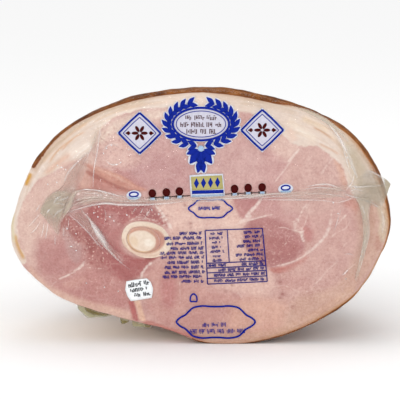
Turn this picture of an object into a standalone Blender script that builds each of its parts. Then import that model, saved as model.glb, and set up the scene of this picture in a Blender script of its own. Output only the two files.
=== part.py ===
"""Half of a bone-in leg ham, shank half, sealed in a clear shrink bag.

The ham lies on its side. Its cut face looks along -Y, its shank points along +Y, and +Z is up.
All sizes are in metres. The sealed bag and the meat that fills it are one solid, as the film is
skin tight: the bag's seal strip, its two corner ears, a pleat of slack film and the tail behind
the shank stand out of it. The leg bone and its marrow run through the meat from the cut face to
the sawn shank end. A paper date label sticks to the film.
"""

import math

import bmesh
import bpy
import numpy as np
from mathutils import Vector

# Cut face: its outline, read clockwise from the far left as (across, up) from the face's middle.
FACE_OUTLINE = [
    (-0.1288, -0.0095), (-0.1222, 0.0165), (-0.1140, 0.0355), (-0.0980, 0.0555), (-0.0735, 0.0715),
    (-0.0410, 0.0828), (-0.0085, 0.0873), (0.0165, 0.0868), (0.0410, 0.0826), (0.0735, 0.0730),
    (0.0985, 0.0612), (0.1144, 0.0458), (0.1215, 0.0310), (0.1270, 0.0115), (0.1280, -0.0070),
    (0.1222, -0.0275), (0.1060, -0.0523), (0.0815, -0.0704), (0.0565, -0.0812), (0.0245, -0.0876),
    (0.0010, -0.0858), (-0.0180, -0.0796), (-0.0560, -0.0705), (-0.0897, -0.0600), (-0.1065, -0.0490),
    (-0.1218, -0.0310),
]
FACE_HALF_HEIGHT = 0.0876
FACE_CROWN = 0.0050
RIM_ROUND_LEAN = 0.0025
RIM_ROUND_FAT = 0.0055
FAT_SIDE_ANGLE = math.radians(60)

# Body: from the cut face back to the sawn shank end.
BODY_LENGTH = 0.245
SHANK_HALF_WIDTH = 0.041
SHANK_HALF_HEIGHT = 0.037
SHANK_SHIFT = 0.022
SHANK_RISE = 0.021
SHANK_ROUND = 0.005
TAPER_STATIONS = [(0.0, 0.0), (0.045, 0.03), (0.090, 0.17), (0.135, 0.44), (0.175, 0.70), (0.210, 0.90), (0.245, 1.0)]
REST_LENGTH = 0.140
REST_FLAT_DEPTH = 0.0016
SAG_DEPTH = 0.0075
SAG_ANGLE = math.radians(-118)
SAG_SPREAD = math.radians(26)

# Mesh density.
AROUND = 88
FACE_RINGS = 15
RIM_RINGS = 3
SIDE_RINGS = 15
END_RINGS = 3

# Leg bone: an oval tube, widest at the cut face.
BONE_CENTRE = (-0.0362, -0.0150)
BONE_HALF_SIZE = (0.0172, 0.0122)
BONE_TILT = math.radians(-14)
MARROW_HALF_SIZE = (0.0120, 0.0090)
SHANK_BONE_HALF_SIZE = (0.0125, 0.0112)
SHANK_MARROW_HALF_SIZE = (0.0080, 0.0070)
BONE_PROUD = 0.0006
BONE_AROUND = 36
BONE_STATIONS = 12
GAP = 0.0003

# Film that stands clear of the meat.
SEAL_LINE = [(-0.0905, 0.0100), (-0.0680, 0.0130), (-0.0340, 0.0113), (0.0000, 0.0133),
             (0.0335, 0.0150), (0.0675, 0.0168), (0.1015, 0.0198), (0.1200, 0.0212)]
SEAL_HALF_WIDTH = 0.0034
SEAL_LIFT = 0.0012
LEFT_EAR = [(-0.0871, 0.0178), (-0.0945, 0.0164), (-0.1013, 0.0137), (-0.1060, 0.0082), (-0.1074, 0.0027),
            (-0.1040, -0.0028), (-0.1006, -0.0083), (-0.0972, -0.0124), (-0.0955, -0.0069), (-0.0932, 0.0006),
            (-0.0904, 0.0054), (-0.0871, 0.0116)]
RIGHT_EAR = [(0.1123, 0.0342), (0.1191, 0.0311), (0.1231, 0.0284), (0.1288, 0.0219), (0.1265, 0.0178),
             (0.1248, 0.0130), (0.1218, 0.0082), (0.1157, 0.0092), (0.1096, 0.0137), (0.1035, 0.0192),
             (0.1062, 0.0274)]
EAR_LIFT = 0.0030
EAR_INNER_SHARE = 0.55
FILM_ROOT = 0.0030
WRINKLES = [
    ((-0.0728, 0.0198), (-0.0674, 0.0623)), ((-0.0945, 0.0192), (-0.0748, 0.0459)),
    ((-0.0810, 0.0048), (-0.0430, -0.0398)), ((-0.0910, 0.0027), (-0.0680, -0.0170)),
    ((0.1048, 0.0301), (0.0930, 0.0560)), ((0.1105, 0.0085), (0.1125, -0.0300)),
    ((-0.0800, 0.0350), (-0.0430, 0.0190)),
]
WRINKLE_HEIGHT = 0.0012
WRINKLE_HALF_WIDTH = 0.0040
PLEAT_DEPTHS = (0.0090, 0.0106)
PLEAT_LOBES = [
    [(-0.0840, 0.0350), (-0.0845, 0.0240), (-0.0838, 0.0216), (-0.0816, 0.0192), (-0.0782, 0.0174),
     (-0.0768, 0.0157), (-0.0715, 0.0157), (-0.0633, 0.0168), (-0.0600, 0.0178), (-0.0600, 0.0300)],
    [(-0.0555, 0.0260), (-0.0552, 0.0157), (-0.0542, 0.0113), (-0.0518, 0.0120), (-0.0492, 0.0137),
     (-0.0485, 0.0250)],
    [(-0.0475, 0.0240), (-0.0471, 0.0130), (-0.0460, 0.0089), (-0.0355, 0.0085), (-0.0340, 0.0098),
     (-0.0335, 0.0220)],
]
TAIL_PLAN = [(-0.028, 0.228), (-0.040, 0.238), (-0.052, 0.255), (-0.057, 0.281),
             (0.058, 0.283), (0.053, 0.255), (0.041, 0.238), (0.028, 0.228)]
TAIL_ABOVE_BONE = 0.017
TAIL_THICKNESS = 0.0016
TAIL_WAVE_HEIGHT = 0.0035
TAIL_WAVES = 2.5
TAIL_CUTS = 12

# Date label: a small paper sticker with bowed sides.
LABEL_CENTRE = (-0.0418, -0.0505)
LABEL_SIZE = (0.0143, 0.0140)
LABEL_BOW = 0.0023
LABEL_TILT = math.radians(9.5)
LABEL_THICKNESS = 0.0004
LABEL_LIFT = 0.0009
LABEL_STEPS = (10, 8)


def clear_scene():
    for thing in list(bpy.data.objects):
        bpy.data.objects.remove(thing, do_unlink=True)


def smooth_step(low, high, value):
    share = np.clip((value - low) / (high - low), 0.0, 1.0)
    return share * share * (3 - 2 * share)


def closed_curve(points, steps):
    """A smooth closed curve through the points (Catmull-Rom), as an array."""
    knots = np.array(points)
    before, after, later = np.roll(knots, 1, 0), np.roll(knots, -1, 0), np.roll(knots, -2, 0)
    found = []
    for t in np.arange(steps) / steps:
        found.append(0.5 * (2 * knots + (after - before) * t + (2 * before - 5 * knots + 4 * after - later) * t**2
                            + (3 * knots - before - 3 * after + later) * t**3))
    return np.array(found).transpose(1, 0, 2).reshape(-1, 2)


FACE_CURVE = closed_curve(FACE_OUTLINE, 24)


def face_radius(angles):
    """Distance from the face's middle to its outline, at each angle."""
    known = np.arctan2(FACE_CURVE[:, 1], FACE_CURVE[:, 0])
    order = np.argsort(known)
    return np.interp(angles, known[order], np.hypot(*FACE_CURVE[order].T), period=2 * math.pi)


def taper(depth):
    """0 for the cut face's section, 1 for the shank's, with no corners between the stations."""
    depths, shares = np.array(TAPER_STATIONS).T
    slopes = np.gradient(shares, depths)
    slopes[0] = slopes[-1] = 0.0
    i = int(np.clip(np.searchsorted(depths, depth) - 1, 0, len(depths) - 2))
    span = depths[i + 1] - depths[i]
    t = (depth - depths[i]) / span
    return ((2 * t**3 - 3 * t**2 + 1) * shares[i] + (t**3 - 2 * t**2 + t) * span * slopes[i]
            + (3 * t**2 - 2 * t**3) * shares[i + 1] + (t**3 - t**2) * span * slopes[i + 1])


def section_middle(depth):
    """(x, z) of the section's middle. The underside stays on the table up to the rest length, then rises."""
    share = taper(depth)
    half_height = FACE_HALF_HEIGHT * (1 - share) + SHANK_HALF_HEIGHT * share
    bottom = SHANK_RISE * smooth_step(REST_LENGTH, BODY_LENGTH, depth) - REST_FLAT_DEPTH
    return SHANK_SHIFT * smooth_step(0, BODY_LENGTH, depth), bottom + half_height


def section(depth, angles, inset=0.0):
    """The body's outline at a depth, as points (x, z), drawn in by inset."""
    share = taper(depth)
    face = face_radius(angles)
    shank = np.hypot(SHANK_HALF_WIDTH * np.cos(angles), SHANK_HALF_HEIGHT * np.sin(angles))
    radius = face * (1 - share) + shank * share - inset
    middle = section_middle(depth)
    x = middle[0] + radius * np.cos(angles)
    z = middle[1] + radius * np.sin(angles)
    off = np.angle(np.exp(1j * (angles - SAG_ANGLE)))
    sag = SAG_DEPTH * smooth_step(0.015, 0.080, depth) * (1 - smooth_step(0.12, 0.20, depth))
    z = z - sag * np.exp(-((off / SAG_SPREAD) ** 2))
    return np.stack([x, np.maximum(z, 0.0)], axis=1)


def wrinkle_height(x, z):
    """Folds of film and one fat ridge, each a low rounded line that fades out at its far end."""
    total = 0.0
    middle = Vector(section_middle(0.0))
    for start, end in WRINKLES:
        a, b = Vector(start) + middle, Vector(end) + middle
        along = b - a
        share = max(0.0, min(1.0, (Vector((x, z)) - a).dot(along) / along.length_squared))
        away = (Vector((x, z)) - a - along * share).length
        total = max(total, WRINKLE_HEIGHT * (1 - 0.7 * share) * math.exp(-((away / WRINKLE_HALF_WIDTH) ** 2)))
    return total


def face_height(x, z):
    """How far the cut face stands out towards -Y at a point: a soft crown with wrinkles on it."""
    middle = section_middle(0.0)
    dx, dz = x - middle[0], z - middle[1]
    reach = float(face_radius(np.array([math.atan2(dz, dx)]))[0])
    share = min(1.0, math.hypot(dx, dz) / reach)
    fade = float(1 - smooth_step(0.85, 1.0, share))
    return FACE_CROWN * (1 - share**2) + wrinkle_height(x, z) * fade


def rim_round(angles):
    """Radius of the edge between cut face and side: wide along the soft fat, tight along the lean."""
    fat = 0.5 + 0.5 * np.cos(angles - FAT_SIDE_ANGLE)
    return RIM_ROUND_LEAN + (RIM_ROUND_FAT - RIM_ROUND_LEAN) * fat


def new_object(name, vertices, faces, material):
    mesh = bpy.data.meshes.new(name)
    mesh.from_pydata([tuple(v) for v in vertices], [], faces)
    shape = bmesh.new()
    shape.from_mesh(mesh)
    bmesh.ops.recalc_face_normals(shape, faces=shape.faces)
    shape.to_mesh(mesh)
    shape.free()
    thing = bpy.data.objects.new(name, mesh)
    bpy.context.scene.collection.objects.link(thing)
    if material:
        mesh.materials.append(material)
    mesh.shade_smooth()
    mesh.set_sharp_from_angle(angle=math.radians(40))
    return thing


def loft(rings, start_point=None, end_point=None):
    """Vertices and outward faces of rings joined in turn. Each end closes on a point, or as one flat face."""
    count = len(rings[0])
    vertices = [tuple(p) for ring in rings for p in ring]
    faces = []
    for r in range(len(rings) - 1):
        for i in range(count):
            j = (i + 1) % count
            faces.append((r * count + i, r * count + j, (r + 1) * count + j, (r + 1) * count + i))
    last = (len(rings) - 1) * count
    if start_point is None:
        faces.append(tuple(reversed(range(count))))
    else:
        vertices.append(tuple(start_point))
        faces += [(len(vertices) - 1, (i + 1) % count, i) for i in range(count)]
    if end_point is None:
        faces.append(tuple(last + i for i in range(count)))
    else:
        vertices.append(tuple(end_point))
        faces += [(len(vertices) - 1, last + i, last + (i + 1) % count) for i in range(count)]
    return vertices, faces


def body_rings():
    """Rings of the ham from the middle of its cut face, round the rim, along the side and over the shank end."""
    angles = -np.arange(AROUND) * 2 * math.pi / AROUND
    rim = rim_round(angles)
    middle = section_middle(0.0)
    edge = section(0.0, angles, rim)
    rings = []
    for k in range(1, FACE_RINGS + 1):
        flat = np.array(middle) + (edge - middle) * math.sin(0.5 * math.pi * k / FACE_RINGS) ** 0.85
        rings.append([(x, -face_height(x, z) if k < FACE_RINGS else 0.0, z) for x, z in flat])
    for k in range(1, RIM_RINGS + 1):
        turn = 0.5 * math.pi * k / RIM_RINGS
        depth = rim * (1 - math.cos(turn))
        points = section(float(depth.mean()), angles, rim * (1 - math.sin(turn)))
        rings.append([(x, y, z) for (x, z), y in zip(points, depth)])
    start = RIM_ROUND_FAT
    for k in range(1, SIDE_RINGS + 1):
        depth = start + (BODY_LENGTH - SHANK_ROUND - start) * k / SIDE_RINGS
        rings.append([(x, depth, z) for x, z in section(depth, angles)])
    end_middle = np.array(section_middle(BODY_LENGTH))
    outer = section(BODY_LENGTH, angles)
    for k in range(END_RINGS + 1):
        turn = 0.5 * math.pi * min(1.0, (k + 1) / 3)
        inset = SHANK_ROUND * (1 - math.cos(turn))
        depth = BODY_LENGTH - SHANK_ROUND * (1 - math.sin(turn))
        ring = outer + (end_middle - outer) * inset / SHANK_HALF_WIDTH
        if k == END_RINGS:
            ring = end_middle + (ring - end_middle) * 0.5
        rings.append([(x, depth, z) for x, z in ring])
    start_point = (middle[0], -face_height(*middle), middle[1])
    return rings, start_point, (end_middle[0], BODY_LENGTH, end_middle[1])


def seal_strip():
    """The bag's sealed bottom edge, a strip pressed flat across the cut face."""
    line = np.array(SEAL_LINE) + np.array(section_middle(0.0))
    xs = np.linspace(line[0, 0], line[-1, 0], 44)
    zs = np.interp(xs, line[:, 0], line[:, 1])
    rings = []
    for x, z in zip(xs, zs):
        low, high = z - SEAL_HALF_WIDTH, z + SEAL_HALF_WIDTH
        front = [-face_height(x, h) - SEAL_LIFT for h in (low, z, high)]
        back = [-face_height(x, h) + FILM_ROOT for h in (low, z, high)]
        rings.append([(x, front[0], low), (x, front[1], z), (x, front[2], high),
                      (x, back[2], high), (x, back[1], z), (x, back[0], low)])
    return new_object("seal_strip", *loft(rings), None)


def ear(name, outline):
    """A crumpled corner of the bag, thicker in its middle, laid against the face."""
    points = np.array(outline) + np.array(section_middle(0.0))
    middle = points.mean(0)
    inner = middle + (points - middle) * EAR_INNER_SHARE

    def ring(places, lift):
        return [(x, -face_height(x, z) - lift * (1 + 0.25 * math.sin(3.1 * i)), z) for i, (x, z) in enumerate(places)]

    rings = [ring(points, -FILM_ROOT), ring(points, SEAL_LIFT), ring(inner, EAR_LIFT)]
    top = (middle[0], -face_height(*middle) - EAR_LIFT, middle[1])
    return new_object(name, *loft(rings, end_point=top), None)


def pleat_lobe(number, outline):
    """One lobe of slack film that hangs below the lower left edge, behind the rim."""
    rings = [[(x, depth, z) for x, z in outline] for depth in PLEAT_DEPTHS]
    return new_object(f"pleat_lobe_{number}", *loft(rings), None)


def tail():
    """The bag's flat tail behind the shank: a wavy sheet as wide as the gathered film."""
    left = np.array(TAIL_PLAN[:4])
    right = np.array(TAIL_PLAN[4:][::-1])
    across = np.linspace(0, 1, TAIL_CUTS)
    height = section_middle(BODY_LENGTH)[1] + TAIL_ABOVE_BONE
    rings = []
    for share in across:
        row = left + (right - left) * share + np.array([SHANK_SHIFT, 0.0])
        grow = np.clip((row[:, 1] - BODY_LENGTH) / 0.03, 0, 1)
        z = height + TAIL_WAVE_HEIGHT * grow * math.sin(2 * math.pi * TAIL_WAVES * share)
        top = [(x, y, h + TAIL_THICKNESS / 2) for (x, y), h in zip(row, z)]
        under = [(x, y, h - TAIL_THICKNESS / 2) for (x, y), h in zip(row, z)]
        rings.append(top + under[::-1])
    return new_object("tail", *loft(rings), None)


def bone_section(depth, face_size, shank_size, grow=0.0):
    """An oval ring of the bone at a depth. The bone bends from its place in the cut to the shank's middle."""
    share = smooth_step(0.0, BODY_LENGTH, max(depth, 0.0))
    start = Vector(section_middle(0.0)) + Vector(BONE_CENTRE)
    middle = start.lerp(Vector(section_middle(BODY_LENGTH)), share)
    half = Vector(face_size).lerp(Vector(shank_size), share) + Vector((grow, grow))
    turn = BONE_TILT * (1 - share)
    ring = []
    for i in range(BONE_AROUND):
        angle = -2 * math.pi * i / BONE_AROUND
        u, w = half.x * math.cos(angle), half.y * math.sin(angle)
        ring.append((middle.x + u * math.cos(turn) - w * math.sin(turn), depth,
                     middle.y + u * math.sin(turn) + w * math.cos(turn)))
    return ring


def bone_depths(start, end):
    return [start + (end - start) * k / BONE_STATIONS for k in range(BONE_STATIONS + 1)]


def bone_front():
    """Depth of the bone's sawn front, just proud of the crowned meat."""
    middle = section_middle(0.0)
    return -face_height(middle[0] + BONE_CENTRE[0], middle[1] + BONE_CENTRE[1]) - BONE_PROUD


def bone_cutter():
    depths = [bone_front() - 0.01, *bone_depths(bone_front(), BODY_LENGTH), BODY_LENGTH + GAP]
    rings = [bone_section(y, BONE_HALF_SIZE, SHANK_BONE_HALF_SIZE, GAP) for y in depths]
    return new_object("bone_cutter", *loft(rings), None)


def leg_bone(material):
    """The bone: an oval tube, sawn flat at both ends."""
    depths = bone_depths(bone_front(), BODY_LENGTH)
    outer = [bone_section(y, BONE_HALF_SIZE, SHANK_BONE_HALF_SIZE) for y in depths]
    inner = [bone_section(y, MARROW_HALF_SIZE, SHANK_MARROW_HALF_SIZE) for y in reversed(depths)]
    rings = outer + inner
    count = BONE_AROUND
    vertices = [p for ring in rings for p in ring]
    faces = []
    for r in range(len(rings)):
        s = (r + 1) % len(rings)
        for i in range(count):
            j = (i + 1) % count
            faces.append((r * count + i, r * count + j, s * count + j, s * count + i))
    return new_object("leg_bone", vertices, faces, material)


def marrow(material):
    depths = bone_depths(bone_front(), BODY_LENGTH)
    rings = [bone_section(y, MARROW_HALF_SIZE, SHANK_MARROW_HALF_SIZE, -GAP) for y in depths]
    return new_object("marrow", *loft(rings), material)


def join_by_union(body, pieces):
    """Fuses the pieces into the body and removes them."""
    collection = bpy.data.collections.new("film_pieces")
    bpy.context.scene.collection.children.link(collection)
    for piece in pieces:
        collection.objects.link(piece)
    union = body.modifiers.new("film", "BOOLEAN")
    union.operation = "UNION"
    union.operand_type = "COLLECTION"
    union.collection = collection
    apply_modifiers(body)
    for piece in pieces:
        bpy.data.objects.remove(piece, do_unlink=True)
    bpy.data.collections.remove(collection)


def apply_modifiers(thing):
    evaluated = thing.evaluated_get(bpy.context.evaluated_depsgraph_get())
    thing.data = bpy.data.meshes.new_from_object(evaluated)
    thing.modifiers.clear()


def bagged_ham(material):
    """The meat in its tight bag, with the standing film fused on and the bone's bore cut through."""
    rings, start_point, end_point = body_rings()
    body = new_object("ham_in_film", *loft(rings, start_point, end_point), material)
    pieces = [seal_strip(), ear("left_ear", LEFT_EAR), ear("right_ear", RIGHT_EAR), tail()]
    pieces += [pleat_lobe(i, lobe) for i, lobe in enumerate(PLEAT_LOBES)]
    join_by_union(body, pieces)
    cutter = bone_cutter()
    bore = body.modifiers.new("bone_bore", "BOOLEAN")
    bore.operation = "DIFFERENCE"
    bore.object = cutter
    apply_modifiers(body)
    bpy.data.objects.remove(cutter, do_unlink=True)
    return body


def date_label(material):
    """A thin sticker that follows the crowned face, with both short sides bowed out."""
    middle = Vector(section_middle(0.0)) + Vector(LABEL_CENTRE)
    columns, rows = LABEL_STEPS
    turn_x, turn_z = math.cos(LABEL_TILT), math.sin(LABEL_TILT)
    rings = []
    for c in range(columns + 1):
        ring = []
        for lift, order in ((LABEL_LIFT + LABEL_THICKNESS, range(rows + 1)), (LABEL_LIFT, range(rows, -1, -1))):
            for r in order:
                up = (r / rows - 0.5) * LABEL_SIZE[1]
                side = c / columns - 0.5
                bow = 2 * LABEL_BOW * side * math.cos(math.pi * up / LABEL_SIZE[1])
                across = side * LABEL_SIZE[0] + bow
                x = middle.x + across * turn_x - up * turn_z
                z = middle.y + across * turn_z + up * turn_x
                ring.append((x, -face_height(x, z) - lift, z))
        rings.append(ring)
    return new_object("date_label", *loft(rings), material)


def finish(name, colour, roughness):
    material = bpy.data.materials.new(name)
    material.use_nodes = True
    shader = material.node_tree.nodes["Principled BSDF"]
    shader.inputs["Base Color"].default_value = (*colour, 1.0)
    shader.inputs["Roughness"].default_value = roughness
    shader.inputs["Metallic"].default_value = 0.0
    return material


def centre_on_origin(things):
    """Puts the origin at the middle of the whole object's base."""
    points = np.array([v.co for thing in things for v in thing.data.vertices])
    low, high = points.min(0), points.max(0)
    shift = Vector((-(low[0] + high[0]) / 2, -(low[1] + high[1]) / 2, -low[2]))
    for thing in things:
        for vertex in thing.data.vertices:
            vertex.co += shift


def main():
    clear_scene()
    things = [
        bagged_ham(finish("ham in film", (0.66, 0.36, 0.32), 0.25)),
        leg_bone(finish("bone", (0.80, 0.71, 0.54), 0.45)),
        marrow(finish("marrow", (0.86, 0.68, 0.52), 0.35)),
        date_label(finish("label paper", (0.90, 0.92, 0.92), 0.60)),
    ]
    centre_on_origin(things)


main()
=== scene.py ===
"""Half of a bone-in leg ham in a tight clear bag: its looks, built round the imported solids."""

import math

import bmesh
import bpy
import numpy as np
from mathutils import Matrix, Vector, noise


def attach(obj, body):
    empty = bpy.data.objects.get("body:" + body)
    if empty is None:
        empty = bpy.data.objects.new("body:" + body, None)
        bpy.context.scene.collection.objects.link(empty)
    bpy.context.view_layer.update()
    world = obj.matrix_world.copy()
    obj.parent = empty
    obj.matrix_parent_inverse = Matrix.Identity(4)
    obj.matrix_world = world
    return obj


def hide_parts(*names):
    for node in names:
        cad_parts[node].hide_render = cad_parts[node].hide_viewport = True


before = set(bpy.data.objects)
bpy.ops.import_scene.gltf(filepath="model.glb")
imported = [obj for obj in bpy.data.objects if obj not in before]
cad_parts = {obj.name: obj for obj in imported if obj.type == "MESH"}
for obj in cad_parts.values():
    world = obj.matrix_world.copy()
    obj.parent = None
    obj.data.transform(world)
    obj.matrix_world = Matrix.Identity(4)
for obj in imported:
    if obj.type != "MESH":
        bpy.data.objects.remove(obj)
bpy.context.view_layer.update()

# The ham's shape, close to the solids: metres from the middle of the cut face. It looks along -Y.
FACE_OUTLINE = [
    (-0.1288, -0.0095), (-0.1222, 0.0165), (-0.1140, 0.0355), (-0.0980, 0.0555), (-0.0735, 0.0715),
    (-0.0410, 0.0828), (-0.0085, 0.0873), (0.0165, 0.0868), (0.0410, 0.0826), (0.0735, 0.0730),
    (0.0981, 0.0607), (0.1135, 0.0450), (0.1213, 0.0306), (0.1278, 0.0116), (0.1298, -0.0066),
    (0.1222, -0.0275), (0.1060, -0.0523), (0.0815, -0.0704), (0.0565, -0.0812), (0.0245, -0.0876),
    (0.0010, -0.0856), (-0.0180, -0.0786), (-0.0560, -0.0684), (-0.0890, -0.0580), (-0.1058, -0.0474),
    (-0.1218, -0.0310),
]
FACE_HALF_HEIGHT = 0.0876
FACE_Y = -0.13843
FACE_CROWN = 0.0050
RIM_ROUND_LEAN = 0.0025
RIM_ROUND_FAT = 0.0055
FAT_SIDE_ANGLE = math.radians(60)
BODY_LENGTH = 0.245
SHANK_HALF_WIDTH = 0.041
SHANK_HALF_HEIGHT = 0.037
SHANK_SHIFT = 0.022
SHANK_RISE = 0.021
SHANK_ROUND = 0.005
TAPER_STATIONS = [(0.0, 0.0), (0.045, 0.03), (0.090, 0.17), (0.135, 0.44), (0.175, 0.70), (0.210, 0.90),
                  (0.245, 1.0)]
REST_LENGTH = 0.140
REST_FLAT_DEPTH = 0.0016
SAG_DEPTH = 0.0075
SAG_ANGLE = math.radians(-118)
SAG_SPREAD = math.radians(26)

FILM_LIFT = 0.0005
# Walls of the thin pieces, in metres
PRINT_WALL = 0.00003
PAPER_WALL = 0.00008
FOLD_WALL = 0.00008
PATCH_WALL = 0.0001
TAIL_WALL = 0.0003
# Shares of the skin's rows that the face, its rounded rim and the side take
FACE_PART, RIM_PART, SIDE_PART = 0.62, 0.07, 0.28
# How far the pleats lie behind the cut's edge, and how far they hang below where they are drawn
PLEAT_DEPTH = 0.0095
PLEAT_DROP = 0.0032
# The bag's flat tail: its start behind the cut, its length, its half widths and its rise over the shank
TAIL_START = 0.236
TAIL_LENGTH = 0.046
TAIL_HALF_WIDTHS = (0.030, 0.058)
TAIL_RISE = 0.017

# Features of the face are drawn on a sheet of 400 by 400 units, with v downwards.
SHEET_MIDDLE = (200.2, 219.0)
UNIT_ACROSS = 0.0006745
UNIT_UP = 0.0006812
SHEET_LEVEL = 0.0866


# Small helpers

def tint(code):
    """A linear colour from an sRGB hex code."""
    found = []
    for i in (0, 2, 4):
        c = int(code[i:i + 2], 16) / 255
        found.append(c / 12.92 if c <= 0.04045 else ((c + 0.055) / 1.055) ** 2.4)
    return (*found, 1.0)


def step(low, high, value):
    share = np.clip((value - low) / (high - low), 0.0, 1.0)
    return share * share * (3 - 2 * share)


def closed_curve(points, steps):
    """A smooth closed curve through the points."""
    knots = np.array(points, float)
    before, after, later = np.roll(knots, 1, 0), np.roll(knots, -1, 0), np.roll(knots, -2, 0)
    square, cube = 2 * before - 5 * knots + 4 * after - later, 3 * knots - before - 3 * after + later
    found = []
    for t in np.arange(steps) / steps:
        found.append(0.5 * (2 * knots + (after - before) * t + square * t**2 + cube * t**3))
    return np.array(found).transpose(1, 0, 2).reshape(-1, knots.shape[1])


def open_curve(points, spacing=1.5):
    """A smooth open curve through the points, evenly spaced."""
    knots = np.array(points, float)
    padded = np.vstack([2 * knots[0] - knots[1], knots, 2 * knots[-1] - knots[-2]])
    found = []
    for i in range(len(knots) - 1):
        a, b, c, d = padded[i:i + 4]
        for t in np.arange(8) / 8:
            found.append(0.5 * (2 * b + (c - a) * t + (2 * a - 5 * b + 4 * c - d) * t**2
                                + (3 * b - a - 3 * c + d) * t**3))
    found = np.array(found + [knots[-1]])
    run = np.concatenate([[0], np.cumsum(np.hypot(*np.diff(found[:, :2], axis=0).T))])
    count = max(3, int(run[-1] / spacing) + 1)
    at = np.linspace(0, run[-1], count)
    return np.stack([np.interp(at, run, found[:, i]) for i in range(found.shape[1])], axis=1)


def line_distance(u, v, line, reach=1e6):
    """Distance from each point to a drawn line, and how far along it (0 to 1) the nearest place is."""
    line = np.asarray(line, float)[:, :2]
    low, high = line.min(0) - reach, line.max(0) + reach
    near = (u > low[0]) & (u < high[0]) & (v > low[1]) & (v < high[1])
    p, q = u[near], v[near]
    best, share = np.full(p.shape, 1e6), np.zeros(p.shape)
    last = len(line) - 1
    for i in range(last):
        (a, b), (c, d) = line[i], line[i + 1]
        run = (c - a) ** 2 + (d - b) ** 2 + 1e-9
        t = np.clip(((p - a) * (c - a) + (q - b) * (d - b)) / run, 0, 1)
        away = np.hypot(p - a - t * (c - a), q - b - t * (d - b))
        nearer = away < best
        best = np.where(nearer, away, best)
        share = np.where(nearer, (i + t) / last, share)
    distance, along = np.full(u.shape, 1e6), np.zeros(u.shape)
    distance[near], along[near] = best, share
    return distance, along


def depth_inside(u, v, outline, reach=1e6):
    """Signed distance to a closed outline, positive inside it."""
    ring = closed_curve(outline, 4)
    away, _ = line_distance(u, v, np.vstack([ring, ring[:1]]), reach)
    near = away < 1e5
    p, q = u[near], v[near]
    inside = np.zeros(p.shape, bool)
    for (a, b), (c, d) in zip(ring, np.roll(ring, -1, 0)):
        crosses = (b > q) != (d > q)
        inside ^= crosses & (p < (c - a) * (q - b) / (d - b + 1e-12) + a)
    away[near] = np.where(inside, away[near], -away[near])
    away[~near] *= -1
    return away


def rough(points, scale, seed, depth=2):
    """Smooth random relief at each point, about -1 to 1. Scale is the size of its bumps."""
    move = Vector((seed * 7.13, seed * 3.71, seed * 5.37))
    return np.array([noise.fractal(Vector(p) / scale + move, 0.8, 2.0, depth) for p in points])


# The ham's surface

FACE_CURVE = closed_curve(FACE_OUTLINE, 24)


def face_radius(angles):
    known = np.arctan2(FACE_CURVE[:, 1], FACE_CURVE[:, 0])
    order = np.argsort(known)
    return np.interp(angles, known[order], np.hypot(*FACE_CURVE[order].T), period=2 * math.pi)


def taper(depth):
    depths, shares = np.array(TAPER_STATIONS).T
    slopes = np.gradient(shares, depths)
    slopes[0] = slopes[-1] = 0.0
    i = int(np.clip(np.searchsorted(depths, depth) - 1, 0, len(depths) - 2))
    span = depths[i + 1] - depths[i]
    t = (depth - depths[i]) / span
    return ((2 * t**3 - 3 * t**2 + 1) * shares[i] + (t**3 - 2 * t**2 + t) * span * slopes[i]
            + (3 * t**2 - 2 * t**3) * shares[i + 1] + (t**3 - t**2) * span * slopes[i + 1])


def section_middle(depth):
    share = taper(depth)
    half_height = FACE_HALF_HEIGHT * (1 - share) + SHANK_HALF_HEIGHT * share
    bottom = SHANK_RISE * step(REST_LENGTH, BODY_LENGTH, depth) - REST_FLAT_DEPTH
    return SHANK_SHIFT * step(0, BODY_LENGTH, depth), bottom + half_height


def section(depth, angles, inset=0.0):
    """The ham's outline at a depth behind the face, as points (x, z)."""
    share = taper(depth)
    shank = np.hypot(SHANK_HALF_WIDTH * np.cos(angles), SHANK_HALF_HEIGHT * np.sin(angles))
    radius = face_radius(angles) * (1 - share) + shank * share - inset
    middle = section_middle(depth)
    x = middle[0] + radius * np.cos(angles)
    z = middle[1] + radius * np.sin(angles)
    off = np.angle(np.exp(1j * (angles - SAG_ANGLE)))
    sag = SAG_DEPTH * step(0.015, 0.080, depth) * (1 - step(0.12, 0.20, depth))
    return x, np.maximum(z - sag * np.exp(-((off / SAG_SPREAD) ** 2)), 0.0)


def to_face(u, v):
    """Sheet place to (x, z) on the cut face."""
    return (u - SHEET_MIDDLE[0]) * UNIT_ACROSS, SHEET_LEVEL + (SHEET_MIDDLE[1] - v) * UNIT_UP


def to_sheet(x, z):
    return SHEET_MIDDLE[0] + x / UNIT_ACROSS, SHEET_MIDDLE[1] - (z - SHEET_LEVEL) / UNIT_UP


def face_share(x, z):
    """0 at the face's middle, 1 at its outline."""
    level = section_middle(0.0)[1]
    return np.minimum(1.0, np.hypot(x, z - level) / face_radius(np.arctan2(z - level, x)))


# Raised and sunken lines of the cut meat: (line on the sheet, half width in units, height in metres)
MEAT_RELIEF = [
    ([(84, 164), (97, 169), (112, 175), (125, 182), (136, 188), (146, 190)], 2.8, 0.0012),
    ([(86, 171), (98, 177), (112, 184), (128, 191)], 2.0, -0.0006),
    ([(155, 205), (162, 213), (168, 222), (173, 229)], 2.0, 0.0004),
    ([(135, 302), (138, 311), (141, 321)], 3.0, 0.0006),
    ([(131, 303), (134, 312), (137, 322)], 1.8, -0.0005),
    ([(331, 226), (328, 236), (318, 246), (308, 255), (298, 261)], 2.4, -0.0004),
    ([(87, 239), (85, 255), (82, 266), (70, 276)], 1.8, -0.0003),
]

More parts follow.
